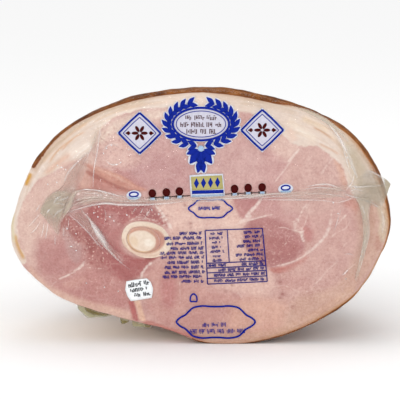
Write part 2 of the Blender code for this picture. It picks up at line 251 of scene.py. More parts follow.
# Lines where the tight film stands off the meat: (line, half width in units, height in metres)
FILM_RELIEF = [
    ([(90, 150), (76, 163), (66, 177), (60, 191)], 5.0, 0.0011),
    ([(101, 126), (98, 146), (94, 166), (93, 188)], 3.4, 0.0009),
    ([(80, 209), (92, 223), (103, 240), (119, 258), (137, 276)], 3.4, 0.0015),
    ([(66, 213), (80, 224), (95, 240), (108, 256)], 3.0, 0.0008),
    ([(311, 114), (326, 124), (341, 141), (350, 163), (356, 180)], 3.6, 0.0011),
    ([(363, 204), (366, 227), (361, 259), (355, 283)], 4.0, 0.0011),
    ([(44, 220), (42, 236), (40, 252)], 1.6, 0.0006), ([(49, 221), (46, 240)], 1.5, 0.0006),
    ([(39, 220), (32, 236)], 1.6, 0.0005), ([(42, 212), (30, 228)], 1.8, 0.0005),
    ([(54, 232), (55, 250)], 2.0, 0.0005), ([(72, 211), (70, 236)], 2.2, 0.0004),
    ([(103, 152), (107, 146), (114, 144), (121, 148), (123, 155)], 1.6, 0.0003),
    ([(106, 161), (112, 165), (119, 164), (124, 158)], 1.6, 0.0003),
    ([(96, 140), (104, 136), (112, 134)], 1.6, 0.0003), ([(104, 206), (106, 222), (102, 240)], 1.8, 0.0004),
    ([(150, 205), (143, 216), (138, 222)], 1.8, 0.0003), ([(168, 206), (160, 218)], 1.6, 0.0003),
    ([(128, 207), (124, 220)], 1.6, 0.0003), ([(246, 198), (243, 212)], 1.5, 0.0003),
    ([(330, 196), (338, 206), (342, 218)], 2.0, 0.0004), ([(344, 150), (352, 166)], 1.8, 0.0005),
]


def relief(u, v, lines):
    total = np.zeros(u.shape)
    for line, half, height in lines:
        away, along = line_distance(u, v, open_curve(line, 4), 3 * half)
        fade = step(0.0, 0.12, along) * (1 - step(0.75, 1.0, along))
        total = total + height * fade * np.exp(-((away / half) ** 2))
    return total


def face_level(x, z, film=False):
    """Y of the meat, or of the film on it, at a place on the cut face."""
    share = face_share(x, z)
    u, v = to_sheet(x, z)
    height = FACE_CROWN * (1 - share**2) + relief(u, v, MEAT_RELIEF) * (1 - step(0.85, 1.0, share))
    if film:
        height = height + relief(u, v, FILM_RELIEF) * (1 - step(0.93, 1.0, share)) + FILM_LIFT
    return FACE_Y - height


def ham_skin(name, around, rings, lift, film):
    """A closed skin in the ham's shape, from a sphere whose pole is the middle of the cut face."""
    bpy.ops.object.select_all(action="DESELECT")
    bpy.ops.mesh.primitive_uv_sphere_add(segments=around, ring_count=rings, radius=1.0)
    thing = bpy.context.object
    thing.name = thing.data.name = name
    place = np.zeros(len(thing.data.vertices) * 3)
    thing.data.vertices.foreach_get("co", place)
    place = place.reshape(-1, 3)
    row = np.rint(np.arccos(np.clip(place[:, 2], -1, 1)) / math.pi * rings).astype(int)
    angle = np.arctan2(place[:, 1], place[:, 0])
    level = section_middle(0.0)[1]
    face_rows = int(rings * FACE_PART)
    rim_rows = int(rings * RIM_PART)
    side_rows = int(rings * SIDE_PART)
    made = np.zeros_like(place)
    for k in range(rings + 1):
        mine = row == k
        a = angle[mine]
        rim = RIM_ROUND_LEAN + (RIM_ROUND_FAT - RIM_ROUND_LEAN) * (0.5 + 0.5 * np.cos(a - FAT_SIDE_ANGLE))
        if k <= face_rows:
            edge_x, edge_z = section(0.0, a, rim)
            share = math.sin(0.5 * math.pi * k / face_rows) ** 0.8
            x, z = edge_x * share, level + (edge_z - level) * share
            y = face_level(x, z, film)
            blend = step(0.985, 1.0, share)
            y = y * (1 - blend) + (FACE_Y - (FILM_LIFT if film else 0)) * blend
        elif k <= face_rows + rim_rows:
            turn = 0.5 * math.pi * (k - face_rows) / rim_rows
            x, z = section(float(rim.mean()) * (1 - math.cos(turn)), a,
                           rim * (1 - math.sin(turn)) - lift * math.sin(turn))
            y = FACE_Y + rim * (1 - math.cos(turn)) - lift * math.cos(turn)
        elif k <= face_rows + rim_rows + side_rows:
            share = (k - face_rows - rim_rows) / side_rows
            depth = rim + (BODY_LENGTH - SHANK_ROUND - rim) * share
            x, z = section(float(depth.mean()), a, -lift)
            y = FACE_Y + depth
        else:
            last = rings - face_rows - rim_rows - side_rows
            share = (k - face_rows - rim_rows - side_rows) / last
            turn = 0.5 * math.pi * min(1.0, share * 2)
            inset = SHANK_ROUND * (1 - math.cos(turn)) - lift * math.cos(turn)
            x, z = section(BODY_LENGTH, a, inset)
            middle = section_middle(BODY_LENGTH)
            inward = 1 - step(0.5, 1.0, share) if share < 1 else 0.0
            x, z = middle[0] + (x - middle[0]) * inward, middle[1] + (z - middle[1]) * inward
            y = FACE_Y + BODY_LENGTH - SHANK_ROUND * (1 - math.sin(turn)) + lift * math.sin(turn)
        made[mine] = np.stack([x, y * np.ones_like(x), z], axis=1)
    set_points(thing, made)
    bpy.ops.object.shade_smooth()
    return thing, made, row, angle, (face_rows, rim_rows, side_rows)


def uneven(thing, place, angle, side, on_face):
    """Pushes a skin along its normals: shallow bumps on the cut, deeper ones and gathers along the side."""
    depth = place[:, 1] - FACE_Y
    bumps = rough(place * 1000, 26.0, 1)
    near_floor = step(0.0005, 0.012, place[:, 2])
    shift = bumps * (on_face * (1 - side) + 0.0008 * side * near_floor)
    turn = angle + 0.25 * bumps
    gathers = (np.abs(np.sin(4.5 * turn + 0.6)) + 0.7 * np.abs(np.sin(7.5 * turn + 2.0))
               + 0.4 * np.abs(np.sin(13 * turn)))
    shift = shift + 0.0011 * (0.8 - gathers) * step(0.15, 0.225, depth) * side * near_floor
    place = place + normals(thing) * shift[:, None]
    place[:, 2] = np.maximum(place[:, 2], 0.0)
    set_points(thing, place)
    return place


def set_points(thing, place):
    thing.data.vertices.foreach_set("co", place.ravel())
    thing.data.update()


def normals(thing):
    found = np.zeros(len(thing.data.vertices) * 3)
    thing.data.vertices.foreach_get("normal", found)
    return found.reshape(-1, 3)


def store(thing, name, values):
    layer = thing.data.attributes.new(name, "FLOAT", "POINT")
    layer.data.foreach_set("value", np.ascontiguousarray(values, np.float32))


def store_colour(thing, name, values):
    layer = thing.data.attributes.new(name, "FLOAT_COLOR", "POINT")
    layer.data.foreach_set("color", np.ascontiguousarray(values, np.float32).ravel())


# The cut meat, drawn on the sheet

LEAN = "D2ABA3"
# The film's soft reflection is added to the lean, so that much is taken off its colour first (linear).
DEEPER_LEAN = np.array([0.98, 0.98, 0.98, 1.0])
FILM_VEIL = np.array([0.0, 0.008, 0.004, 0.0])
# Muscles and fat pockets, painted in this order: (outline, colour, softness of the edge in units, strength)
MUSCLES = [
    # outer left muscle, its shaded heart and the knuckle under it
    ([(14, 215), (24, 198), (40, 182), (58, 172), (80, 160), (94, 150), (97, 170), (82, 192), (60, 202),
      (46, 216), (54, 238), (62, 246), (48, 262), (36, 272), (22, 252)], "DFC1B5", 6, 1),
    ([(38, 240), (60, 238), (84, 248), (86, 262), (72, 274), (56, 280), (42, 276), (34, 262)], "C18E89",
     7, 0.9),
    ([(66, 216), (80, 212), (90, 230), (88, 246), (76, 240), (66, 236)], "C79A92", 4, 0.8),
    ([(50, 284), (70, 278), (90, 268), (120, 276), (130, 296), (122, 312), (95, 308), (66, 298)],
     "C48F89", 7, 0.9),
    ([(30, 268), (44, 284), (62, 294), (90, 304), (128, 314), (128, 326), (90, 316), (56, 302),
      (30, 282)], "DDBAAA", 3.5, 0.95),
    ([(60, 286), (72, 281), (84, 278), (82, 286), (70, 291)], "D3A79C", 4, 0.6),
    ([(62, 221), (70, 218), (80, 226), (84, 236), (76, 236), (66, 230)], "AD746F", 3, 0.8),
    ([(68, 231), (74, 229), (80, 236), (84, 243), (76, 242)], "A96660", 2, 0.7),
    ([(63, 230), (68, 232), (74, 240), (81, 246), (80, 262), (72, 262), (66, 250)], "C5A29D", 2.5, 0.8),
    # painted shade along the left ear's edge
    ([(64, 216), (66, 218), (62, 228), (60, 234), (59, 228)], "A9645A", 1.2, 0.7),
    # dark muscle round the bone
    ([(66, 216), (84, 210), (100, 220), (118, 244), (130, 264), (112, 274), (92, 269), (86, 258),
      (88, 244), (80, 236), (70, 226)],
     "B8807A", 4, 1),
    ([(88, 208), (104, 203), (130, 205), (156, 204), (169, 226), (152, 222), (130, 221), (121, 232),
      (120, 246), (128, 258), (150, 262), (142, 276), (122, 282), (106, 268), (100, 250), (94, 226)],
     "B57571", 3, 1),
    ([(108, 214), (124, 210), (140, 212), (130, 220), (116, 230), (110, 228)], "B06D6A", 4, 0.6),
    ([(118, 262), (134, 264), (138, 274), (126, 280), (114, 272)], "AD6B68", 4, 0.7),
    ([(84, 232), (91, 236), (95, 248), (92, 256), (86, 250), (84, 241)], "A5645F", 2.5, 0.7),
    ([(106, 214), (114, 212), (121, 220), (119, 229), (110, 228)], "C59691", 3, 0.7),
    ([(86, 208), (96, 204), (102, 212), (98, 219), (90, 217)], "AD625E", 3, 0.6),
    ([(134, 206), (158, 206), (164, 216), (148, 219), (134, 214)], "A66C6B", 3, 0.6),
    ([(104, 226), (116, 226), (122, 240), (116, 246), (106, 238)], "C48F8A", 3.5, 0.6),
    # upper muscle with its shades
    ([(102, 132), (135, 122), (200, 132), (250, 140), (286, 136), (298, 150), (286, 172), (270, 188),
      (200, 194), (150, 192), (120, 172), (100, 152)], "D0A8A3", 6, 1),
    ([(118, 166), (140, 156), (180, 158), (196, 172), (190, 192), (150, 190), (130, 180)], "C79C99", 8, 0.8),
    ([(100, 134), (124, 130), (140, 144), (140, 162), (118, 170), (99, 160)], "DDBBB1", 5, 0.9),
    ([(112, 168), (128, 172), (140, 182), (150, 190), (136, 186), (120, 176)], "C58F8A", 3, 0.6),
    ([(210, 150), (244, 146), (262, 158), (250, 180), (222, 182), (206, 168)], "D4B1AB", 9, 0.6),
    ([(78, 174), (92, 172), (108, 180), (130, 190), (138, 194), (104, 192), (78, 190)], "C58F84", 2.5, 1),
    ([(80, 172), (91, 172), (91, 188), (80, 188)], "D9B2A4", 3, 0.9),
    # pale fat and gristle between the muscles
    ([(157, 204), (200, 198), (238, 199), (244, 210), (246, 222), (243, 238), (250, 256), (264, 268),
      (276, 284), (262, 302), (240, 292), (215, 286), (186, 262), (174, 240), (168, 222)], "E3C3B7", 5, 1),
    ([(204, 232), (224, 232), (230, 250), (222, 268), (208, 262)], "DDBEB8", 6, 0.7),
    ([(176, 226), (190, 240), (192, 258), (180, 256), (172, 240)], "DDB9AC", 5, 0.6),
    ([(246, 196), (262, 186), (286, 190), (300, 202), (298, 218), (282, 223), (264, 216), (252, 210)],
     "CB9E9A", 7, 0.85),
    ([(280, 196), (296, 198), (300, 212), (284, 216)], "DAB8B0", 5, 0.7),
    ([(234, 198), (262, 197), (258, 205), (250, 212), (244, 220), (238, 214)], "C08A87", 2.5, 0.9),
    ([(198, 202), (206, 200), (214, 204), (206, 208)], "CFA09A", 3, 0.5),
    # paler lean under the fat
    ([(262, 118), (284, 124), (298, 142), (302, 152), (290, 162), (274, 152), (262, 138)], "E1C4B8", 6, 0.85),
    ([(98, 140), (108, 126), (136, 114), (172, 110), (172, 119), (140, 123), (118, 131), (104, 144)],
     "E8D3C5", 4.5, 0.9),
    # dark round muscle beside the table, with the red band under it
    ([(246, 225), (254, 219), (266, 217), (282, 222), (291, 227), (294, 232), (300, 236), (305, 246),
      (303, 253), (296, 259), (284, 265), (270, 268), (260, 264), (250, 256), (244, 244), (243, 234)],
     "BC8884", 2.2, 1),
    ([(266, 240), (284, 238), (300, 246), (300, 252), (288, 260), (272, 262), (264, 252)], "B57C78", 5, 0.8),
    ([(248, 232), (258, 226), (264, 236), (260, 250), (250, 248)], "B58080", 4, 0.6),
    ([(270, 269), (286, 267), (300, 261), (308, 257), (304, 266), (292, 272), (276, 274)], "C4867C", 1.4, 1),
    # right-hand muscles
    ([(300, 149), (318, 149), (330, 158), (343, 166), (350, 182), (346, 200), (334, 212), (302, 214),
      (290, 202), (284, 182), (291, 162)], "D6B3AA", 4, 1),
    ([(333, 160), (340, 165), (346, 176), (347, 190), (342, 186), (338, 173)], "D9AF9B", 2.5, 0.8),
    ([(296, 158), (306, 160), (300, 176), (288, 190), (282, 186)], "CFA79F", 5, 0.5),
    ([(332, 228), (350, 216), (358, 240), (352, 264), (336, 290), (310, 300), (280, 306), (272, 288),
      (290, 270), (316, 253)],
     "D3ADA4", 5, 1),
    ([(300, 224), (310, 220), (316, 230), (312, 242), (304, 238)], "C99892", 4, 0.7),
    ([(352, 190), (386, 198), (390, 232), (372, 270), (346, 302), (334, 302), (350, 268), (359, 240),
      (354, 208)], "D0AD9D", 5, 1),
    ([(377, 206), (386, 206), (388, 230), (384, 244), (379, 236), (380, 222)], "D2BEA8", 2.0, 0.9),
    ([(342, 205), (352, 199), (358, 203), (357, 213), (352, 210)], "C98F80", 2.5, 0.6),
    ([(73, 200), (80, 199), (83, 206), (76, 208)], "A87470", 2, 0.7),
    ([(368, 204), (372, 206), (375, 222), (373, 238), (370, 240), (370, 226)], "C79F8C", 2, 0.6),
    ([(377, 235), (381, 241), (381, 249), (377, 252), (376, 244)], "C08D7C", 1.8, 0.45),
    ([(303, 228), (309, 229), (312, 238), (307, 242)], "C58983", 2, 0.8),
    ([(282, 280), (300, 276), (310, 284), (296, 292), (280, 290)], "CDA098", 5, 0.6),
    # low middle
    ([(150, 266), (184, 266), (202, 288), (262, 300), (282, 312), (266, 336), (218, 340), (170, 330),
      (146, 308)], "CFA299", 6, 1),
    ([(163, 278), (172, 274), (176, 290), (172, 308), (164, 306), (160, 290)], "C28581", 4, 0.8),
    ([(236, 304), (268, 300), (300, 312), (288, 332), (250, 338), (228, 330)], "DEB5A4", 8, 0.9),
    ([(296, 300), (330, 290), (354, 276), (350, 298), (312, 322), (284, 334)], "D3AF9F", 6, 1),
    ([(196, 334), (236, 336), (284, 328), (330, 304), (352, 288), (352, 302), (320, 322), (284, 338),
      (236, 346), (196, 344)],
     "D5B09B", 3, 0.8),
    ([(146, 322), (170, 330), (200, 338), (200, 345), (168, 338), (144, 330)], "C98478", 2, 0.8),
    ([(128, 303), (133, 302), (136, 312), (138, 322), (133, 322), (130, 312)], "B9706C", 1.4, 1),
    ([(134, 301), (139, 301), (142, 311), (145, 322), (139, 322), (137, 312)], "E4BFA8", 1.3, 1),
    # ridge of fat that runs down to the seal, with painted light along its top and painted shade below it
    ([(82, 163), (97, 167), (112, 172), (126, 178), (136, 185), (147, 190), (138, 192), (124, 188),
      (108, 181), (94, 173)],
     "CF9A8A", 1.4, 1),
    ([(86, 163), (98, 167.5), (112, 173.5), (124, 179.5), (134, 186), (128, 184), (110, 175.5),
      (96, 170)], "DBB09F", 1.2, 0.8),
    ([(88, 171), (104, 178.5), (120, 186.5), (134, 191), (124, 191.5), (104, 183), (88, 175)], "B27669",
     1.2, 0.9),
    # painted shadow along and under the bone's lower edge
    ([(146, 257), (151, 256), (155, 259), (151, 261), (147, 260)], "8E3F3C", 1.2, 1),
    ([(124, 254), (136, 258), (150, 259), (160, 256), (150, 262), (132, 262)], "AA5F5C", 2.0, 0.8),
]
# Pale seams and threads of fat in the lean, and painted highlights where the film wrinkles: (line, half width
# in units, strength)
SEAMS_AND_SHINE = [
    ([(334, 206), (331, 216), (330.5, 226), (327, 235), (318, 245), (308, 254), (298, 260), (288, 264),
      (270, 268)], 1.0, 0.75),
    ([(332, 216), (330, 226), (325, 237), (316, 247), (304, 256)], 2.3, 0.62),
    ([(329, 232), (322, 241), (312, 251)], 1.8, 0.72), ([(347, 215), (341, 221), (336, 226)], 1.1, 0.7),
    ([(352, 217), (346, 229), (337, 233), (330, 240)], 0.9, 0.6),
    ([(309, 202), (303, 209), (300, 217), (297, 224), (296, 231), (301, 232)], 1.2, 0.7),
    ([(296, 218), (294, 226), (297, 230)], 1.1, 0.75), ([(291, 221), (297, 224)], 1.0, 0.6),
    ([(301, 231), (302, 238), (305, 243)], 1.3, 0.9), ([(299, 229), (304, 231), (303, 236)], 1.2, 0.7),
    ([(301, 231), (305, 224), (308, 214)], 1.0, 0.7), ([(312, 200), (307, 208), (305, 214)], 0.9, 0.5),
    ([(296, 232), (291, 230), (286, 228), (276, 228)], 0.9, 0.65),
    ([(290, 230), (289, 239), (284, 246), (276, 253)], 0.9, 0.45),
    ([(280, 252), (275, 258), (269, 263)], 0.9, 0.5), ([(300, 149), (295, 154), (287, 163)], 1.1, 0.8),
    ([(262, 226), (272, 232), (278, 240)], 0.8, 0.55), ([(254, 240), (262, 244), (268, 252)], 0.8, 0.5),
    ([(300, 150), (293, 158), (286, 168), (279, 177), (273, 184)], 1.1, 0.62),
    ([(334, 158), (329, 163), (325, 169), (321, 176)], 1.4, 0.62),
    ([(352, 241), (344, 246), (344, 251)], 0.9, 0.5),
    ([(342, 259), (334, 266), (327, 272), (322, 279), (316, 285), (312, 291), (303, 294)], 1.1, 0.5),
    ([(330, 269), (322, 278), (315, 287)], 1.4, 0.4),
    ([(303, 294), (297, 292), (286, 287), (277, 287), (270, 289)], 1.0, 0.5),
    ([(300, 300), (312, 299), (320, 296)], 1.2, 0.3), ([(269, 289), (270, 297), (276, 303)], 1.2, 0.4),
    ([(344, 277), (352, 268), (360, 262)], 1.1, 0.5), ([(320, 291), (326, 296), (334, 295)], 0.9, 0.4),
    ([(325, 222), (318, 228), (314, 224)], 0.8, 0.35), ([(343, 232), (352, 230), (358, 226)], 0.8, 0.35),
    ([(88, 234), (87, 248), (85, 260)], 0.8, 0.4),
    ([(85, 260), (82, 267), (75, 272), (66, 277), (56, 282)], 1.0, 0.85),
    ([(84, 263), (80, 268), (73, 273)], 1.7, 0.7), ([(66, 247), (73, 248), (81, 249)], 0.8, 0.5),
    ([(56, 282), (50, 288), (48, 292)], 1.8, 0.5), ([(86, 268), (95, 269), (105, 270)], 0.8, 0.6),
    ([(66, 252), (60, 250), (54, 252)], 1.2, 0.3), ([(88, 246), (94, 243), (98, 247)], 0.8, 0.4),
    ([(155, 205), (162, 213), (168, 222), (173, 230)], 1.4, 0.9),
    ([(136, 220), (150, 219), (160, 224), (170, 230)], 1.5, 0.5),
    ([(128, 222), (136, 218), (146, 217)], 1.5, 0.5), ([(160, 216), (166, 226)], 1.8, 0.5),
    ([(153, 262), (147, 267), (142, 274), (141, 282)], 1.7, 0.75),
    ([(179.5, 280), (180, 295), (180, 310)], 0.7, 0.5),
    ([(232, 226), (247, 221), (262, 217), (276, 214)], 1.2, 0.6),
    ([(243, 222), (250, 212), (257, 205), (263, 197)], 1.9, 0.8),
    ([(238, 222), (246, 220), (252, 214)], 2.4, 0.6), ([(226, 222), (232, 230), (236, 244)], 1.6, 0.4),
    ([(246, 225), (243, 236), (245, 248), (252, 258), (262, 266), (270, 269)], 1.2, 0.45),
    ([(238, 292), (241, 297), (245, 303)], 2.2, 0.4), ([(262, 290), (264, 300), (258, 306)], 1.5, 0.35),
    ([(110, 184), (118, 190)], 1.2, 0.4), ([(346, 204), (352, 200)], 1.0, 0.35),
    ([(258, 274), (262, 290), (260, 300)], 2.0, 0.35),
    # painted highlights: soft shine along the film's wrinkles and on fibres of the lean under it
    ([(102, 153), (106, 146), (113, 144), (120, 147), (123, 154)], 0.9, 0.5),
    ([(105, 160), (111, 165), (118, 165), (123, 160)], 1.1, 0.6),
    ([(108, 154), (112, 151), (117, 153), (116, 158)], 0.9, 0.35),
    ([(100, 157), (102, 163), (107, 167), (114, 168)], 0.9, 0.5), ([(101, 151), (104, 156)], 1.0, 0.6),
    ([(104, 141), (110, 138), (116, 139)], 0.9, 0.4), ([(128, 150), (132, 156)], 0.9, 0.35),
    ([(150, 208), (146, 214), (143, 219)], 0.8, 0.5), ([(143, 209), (140, 214)], 0.8, 0.45),
    ([(135, 209), (133, 213)], 0.9, 0.4), ([(158, 212), (154, 218)], 0.8, 0.45),
    ([(126, 212), (124, 217), (120, 223)], 0.8, 0.35), ([(150, 212), (146, 221)], 0.8, 0.4),
    ([(106, 214), (104, 221), (104, 228)], 0.8, 0.35), ([(96, 213), (99, 217)], 1.0, 0.45),
    ([(112, 208), (110, 216)], 0.8, 0.35), ([(240, 199), (240, 207), (242, 213)], 0.8, 0.45),
    ([(246, 199), (246, 209)], 0.7, 0.4), ([(252, 199), (251, 206)], 0.7, 0.4),
    ([(64, 238), (68, 234), (74, 233)], 1.6, 0.35), ([(56, 236), (58, 246)], 1.4, 0.35),
    ([(70, 244), (78, 240)], 1.3, 0.3), ([(108, 187), (106, 191)], 0.9, 0.4),
    ([(122, 186), (124, 190)], 0.9, 0.35), ([(166, 176), (176, 180), (184, 178)], 0.9, 0.25),
    ([(160, 158), (158, 166)], 0.7, 0.35), ([(188, 160), (196, 166)], 1.0, 0.25),
    ([(300, 172), (308, 166), (318, 164)], 1.0, 0.25), ([(306, 186), (314, 178), (322, 174)], 0.9, 0.3),
    ([(330, 170), (334, 180), (336, 190)], 0.9, 0.3),
]
# Small dark flecks: (u, v, radius, strength)
FLECKS = [(280, 283, 1.5, 0.7), (283, 295, 1.8, 0.7), (281, 299, 1.5, 0.6), (293, 308, 1.4, 0.6),
          (190, 224, 2.0, 0.6), (216, 207, 1.8, 0.7), (191, 228, 1.5, 0.4), (232, 286, 1.5, 0.6),
          (197, 230, 1.3, 0.3), (310, 262, 1.2, 0.35), (277, 219, 1.2, 0.45), (185, 205, 1.6, 0.5),
          (226, 292, 1.4, 0.4), (148, 247, 1.0, 0.2), (140, 300, 1.0, 0.3), (101, 250, 1.4, 0.5),
          (95, 246, 1.3, 0.5), (98, 256, 1.2, 0.5), (91, 252, 1.2, 0.5), (104, 244, 1.2, 0.4),
          (110, 250, 1.3, 0.4), (90, 241, 1.2, 0.4), (286, 240, 1.5, 0.3), (270, 232, 1.6, 0.25)]
# Grainy stretches of the lean: (outline, strength)
GRANULAR = [
    ([(84, 224), (98, 232), (110, 248), (104, 262), (88, 262), (80, 246)], 1.0),
    ([(94, 206), (130, 206), (160, 208), (168, 224), (128, 220), (106, 226)], 0.8),
    ([(100, 134), (130, 130), (140, 148), (136, 168), (106, 168)], 0.55),
    ([(60, 220), (76, 218), (88, 236), (84, 248), (66, 240)], 0.9),
    ([(262, 226), (290, 230), (302, 246), (288, 262), (262, 262)], 0.45),
    ([(88, 280), (124, 284), (126, 304), (104, 302)], 0.45),
    ([(276, 276), (300, 272), (330, 262), (340, 280), (310, 300), (282, 300)], 0.3),
    ([(306, 160), (336, 170), (344, 196), (316, 200)], 0.3),
]
FAT_CAP = [(33, 184), (42, 180), (52, 174), (62, 169), (72, 164), (83, 159), (91, 152), (96, 142),
           (100, 133), (106, 126), (114, 120), (126, 115), (142, 111), (170, 109), (200, 110), (240, 113),
           (262, 119), (276, 131), (286, 140), (294, 145), (302, 148), (312, 147), (321, 150), (330, 157),
           (338, 163), (343, 170), (347, 182), (351, 192), (360, 198), (369, 201), (380, 204), (400, 204),
           (400, 60), (0, 60), (0, 190), (20, 190)]
FAT_LEFT_EDGE = [(36, 182), (30, 191), (25, 201), (20, 212), (17, 225), (18, 238), (21, 250), (27, 264),
                 (10, 262), (0, 226), (12, 190), (26, 176)]
# Streaks in the fat: (line, half width, colour, strength)
FAT_STREAKS = [
    ([(312, 128), (322, 133), (334, 141)], 0.9, "C9986F", 0.8),
    ([(300, 119), (316, 126), (330, 133)], 2.5, "E3CDB2", 0.7),
    ([(318, 144), (330, 150), (340, 156)], 0.9, "D0A382", 0.7),
    ([(328, 134), (338, 144), (346, 160)], 3.0, "D9BFA8", 0.6),
    ([(344, 140), (354, 158), (366, 176)], 5.0, "D2C1A6", 0.7),
    ([(350, 150), (356, 172), (362, 190)], 6.0, "D0BEA3", 0.7),
    ([(356, 182), (368, 188), (380, 190)], 4.0, "BFAE97", 0.6),
    ([(40, 168), (52, 152), (72, 134), (92, 122)], 1.8, "DDB892", 0.7),
    ([(48, 166), (58, 152), (76, 138), (88, 132)], 1.0, "D9AC84", 0.7),
    ([(62, 152), (68, 145), (74, 140)], 0.8, "D2A077", 0.7),
    ([(72, 132), (86, 124), (100, 117)], 0.8, "DBB795", 0.7),
    ([(36, 174), (46, 158), (62, 142), (80, 126), (104, 113)], 1.6, "C9B9AA", 0.6),
    ([(92, 124), (112, 115), (140, 107)], 1.0, "D9B999", 0.6),
    ([(44, 176), (58, 164), (76, 152)], 2.6, "E2BBA6", 0.7),
    ([(58, 168), (70, 164), (84, 163)], 3.0, "DDB2A4", 0.6),
    ([(84, 124), (110, 112), (150, 102)], 2.0, "D8BFA6", 0.6),
    ([(60, 138), (86, 122), (120, 108), (160, 98)], 1.0, "C9B6A2", 0.6),
    ([(92, 150), (97, 136), (104, 124)], 2.6, "DFC5B2", 0.6),
    ([(120, 112), (160, 104), (200, 102)], 1.0, "DDC3AD", 0.6),
    ([(68, 156), (80, 151), (92, 144)], 4.0, "F3E6DB", 0.8),
    ([(31, 174), (28, 181), (25, 187)], 2.6, "D29C3A", 1.0),
    ([(96, 132), (112, 120), (140, 110)], 3.0, "F1E2D4", 0.6),
    ([(150, 104), (190, 100), (226, 101)], 3.0, "EEDCCE", 0.6),
    ([(236, 102), (280, 108), (300, 116)], 4.0, "D3BFAD", 0.7),
    ([(212, 100), (250, 102)], 2.5, "DCC6B4", 0.5), ([(288, 128), (294, 144)], 5.0, "E6CBBB", 0.7),
    ([(296, 108), (330, 122), (352, 142), (370, 170)], 2.2, "C9A784", 0.5),
    ([(286, 120), (304, 134), (318, 142)], 4.0, "F0E2D2", 0.6),
    ([(300, 116), (320, 126), (338, 144)], 2.0, "EDD9C6", 0.6),
]
RIM_AMBER = [([(14, 234), (17, 246), (24, 262)], 2.2, "C9923C", 0.75),
             ([(20, 216), (19, 236), (24, 256)], 1.5, "F0E4D6", 0.8),
             ([(13, 212), (12, 228), (14, 246)], 1.6, "D9CDAA", 0.8)]


def flat(code, count):
    return np.tile(np.array(tint(code)), (count, 1))


def lay(shown, code, weight):
    return shown * (1 - weight[:, None]) + np.array(tint(code)) * weight[:, None]


def paint_face(u, v, front):
    """Lean and fat colours of the cut meat, how far each place is into the fat, and the pale seams and
    painted highlights.
    """
    p, q = u[front], v[front]
    lean = flat(LEAN, len(p))
    for outline, code, soft, strength in MUSCLES:
        lean = lay(lean, code, strength * step(-soft, soft, depth_inside(p, q, outline, soft + 1)))
    for a, b, radius, strength in FLECKS:
        lean = lay(lean, "98544C", strength * np.exp(-((np.hypot(p - a, q - b) / radius) ** 2)))
    lean = np.maximum(lean * DEEPER_LEAN - FILM_VEIL, 0.01)
    fat = flat("E3D2C6", len(p))
    for line, half, code, strength in FAT_STREAKS + RIM_AMBER:
        away, along = line_distance(p, q, open_curve(line, 4), 3 * half)
        weight = strength * step(0, 0.15, along) * (1 - step(0.85, 1, along)) * np.exp(-((away / half) ** 2))
        fat = lay(fat, code, weight)
    seam_and_shine = np.zeros(len(p))
    for line, half, strength in SEAMS_AND_SHINE:
        away, along = line_distance(p, q, open_curve(line, 3), 4 * half)
        fade = step(-0.08, 0.12, along) * (1 - step(0.88, 1.08, along))
        tent = np.clip(1 - away / (3.2 * half), 0, 1) * (0.45 + 0.55 * fade)
        seam_and_shine = np.maximum(seam_and_shine, tent * (0.45 + 0.55 * strength))
    lean_all, fat_all = flat("C9988C", len(u)), flat("E3CDB9", len(u))
    depth, pale = np.full(len(u), 6.0), np.zeros(len(u))
    lean_all[front], fat_all[front], pale[front] = lean, fat, seam_and_shine
    depth[front] = np.maximum(depth_inside(p, q, FAT_CAP), depth_inside(p, q, FAT_LEFT_EDGE))
    return lean_all, fat_all, depth, pale


# Width of the rind's brown edge round the face, in units: (u, v on the outline, width)
RIND_EDGE = [
    (32, 168, 4.4), (42, 153, 4.4), (50, 143, 3.4), (65, 128, 2.4), (90, 111, 1.8), (120, 101, 2.0),
    (150, 94, 2.6), (175, 91, 2.0), (192, 89, 0.2), (204, 89, 0.2), (214, 88, 2.6), (235, 90, 3.6),
    (260, 95, 3.0), (275, 99, 0.8), (290, 104, -5), (320, 117, -7), (345, 135, 0.6), (355, 144, 3.2),
    (365, 155, 4.8), (375, 165, 4.8), (388, 190, 4.0), (391, 215, 3.8), (389, 232, 1.8), (384, 246, -2.5),
    (375, 270, -4), (360, 288, -3), (350, 298, 0.6), (338, 307, 2.6), (320, 317, 2.6), (300, 325, 2.3),
    (270, 334, 1.9), (240, 340, 1.8), (215, 343, 1.8), (192, 343, 1.0),
]
BARE_FROM, BARE_TO = math.radians(163), math.radians(266)


def rind_reach(place, angle, row, face_rows):
    """Signed distance in units into the rind: above 0 where brown rind shows."""
    edge_u, edge_v, width = np.array(RIND_EDGE, float).T
    x, z = to_face(edge_u, edge_v)
    turn = np.arctan2(z - FACE_HALF_HEIGHT, x)
    order = np.argsort(turn)
    wide = np.interp(angle, turn[order], width[order], period=2 * math.pi)
    level = section_middle(0.0)[1]
    radius = np.hypot(place[:, 0], place[:, 2] - level)
    depth = place[:, 1] - FACE_Y
    inside = np.where(row <= face_rows + 4, (face_radius(angle) - radius) / UNIT_ACROSS, -depth / UNIT_ACROSS)
    ring = wide - np.maximum(inside, -30)
    middle, half = 0.5 * (BARE_FROM + BARE_TO), 0.5 * (BARE_TO - BARE_FROM)
    off = np.abs(np.angle(np.exp(1j * (angle - middle))))
    wave = 0.10 * np.sin(depth * 95) + 0.05 * np.sin(depth * 240 + 2)
    open_half = half * (1 - step(0.020, 0.110, depth)) - 0.30 * step(0.095, 0.115, depth)
    across = (off - open_half - wave * step(0.0, 0.02, depth)) * np.maximum(radius, 0.03) / UNIT_ACROSS
    return np.minimum(ring, across)


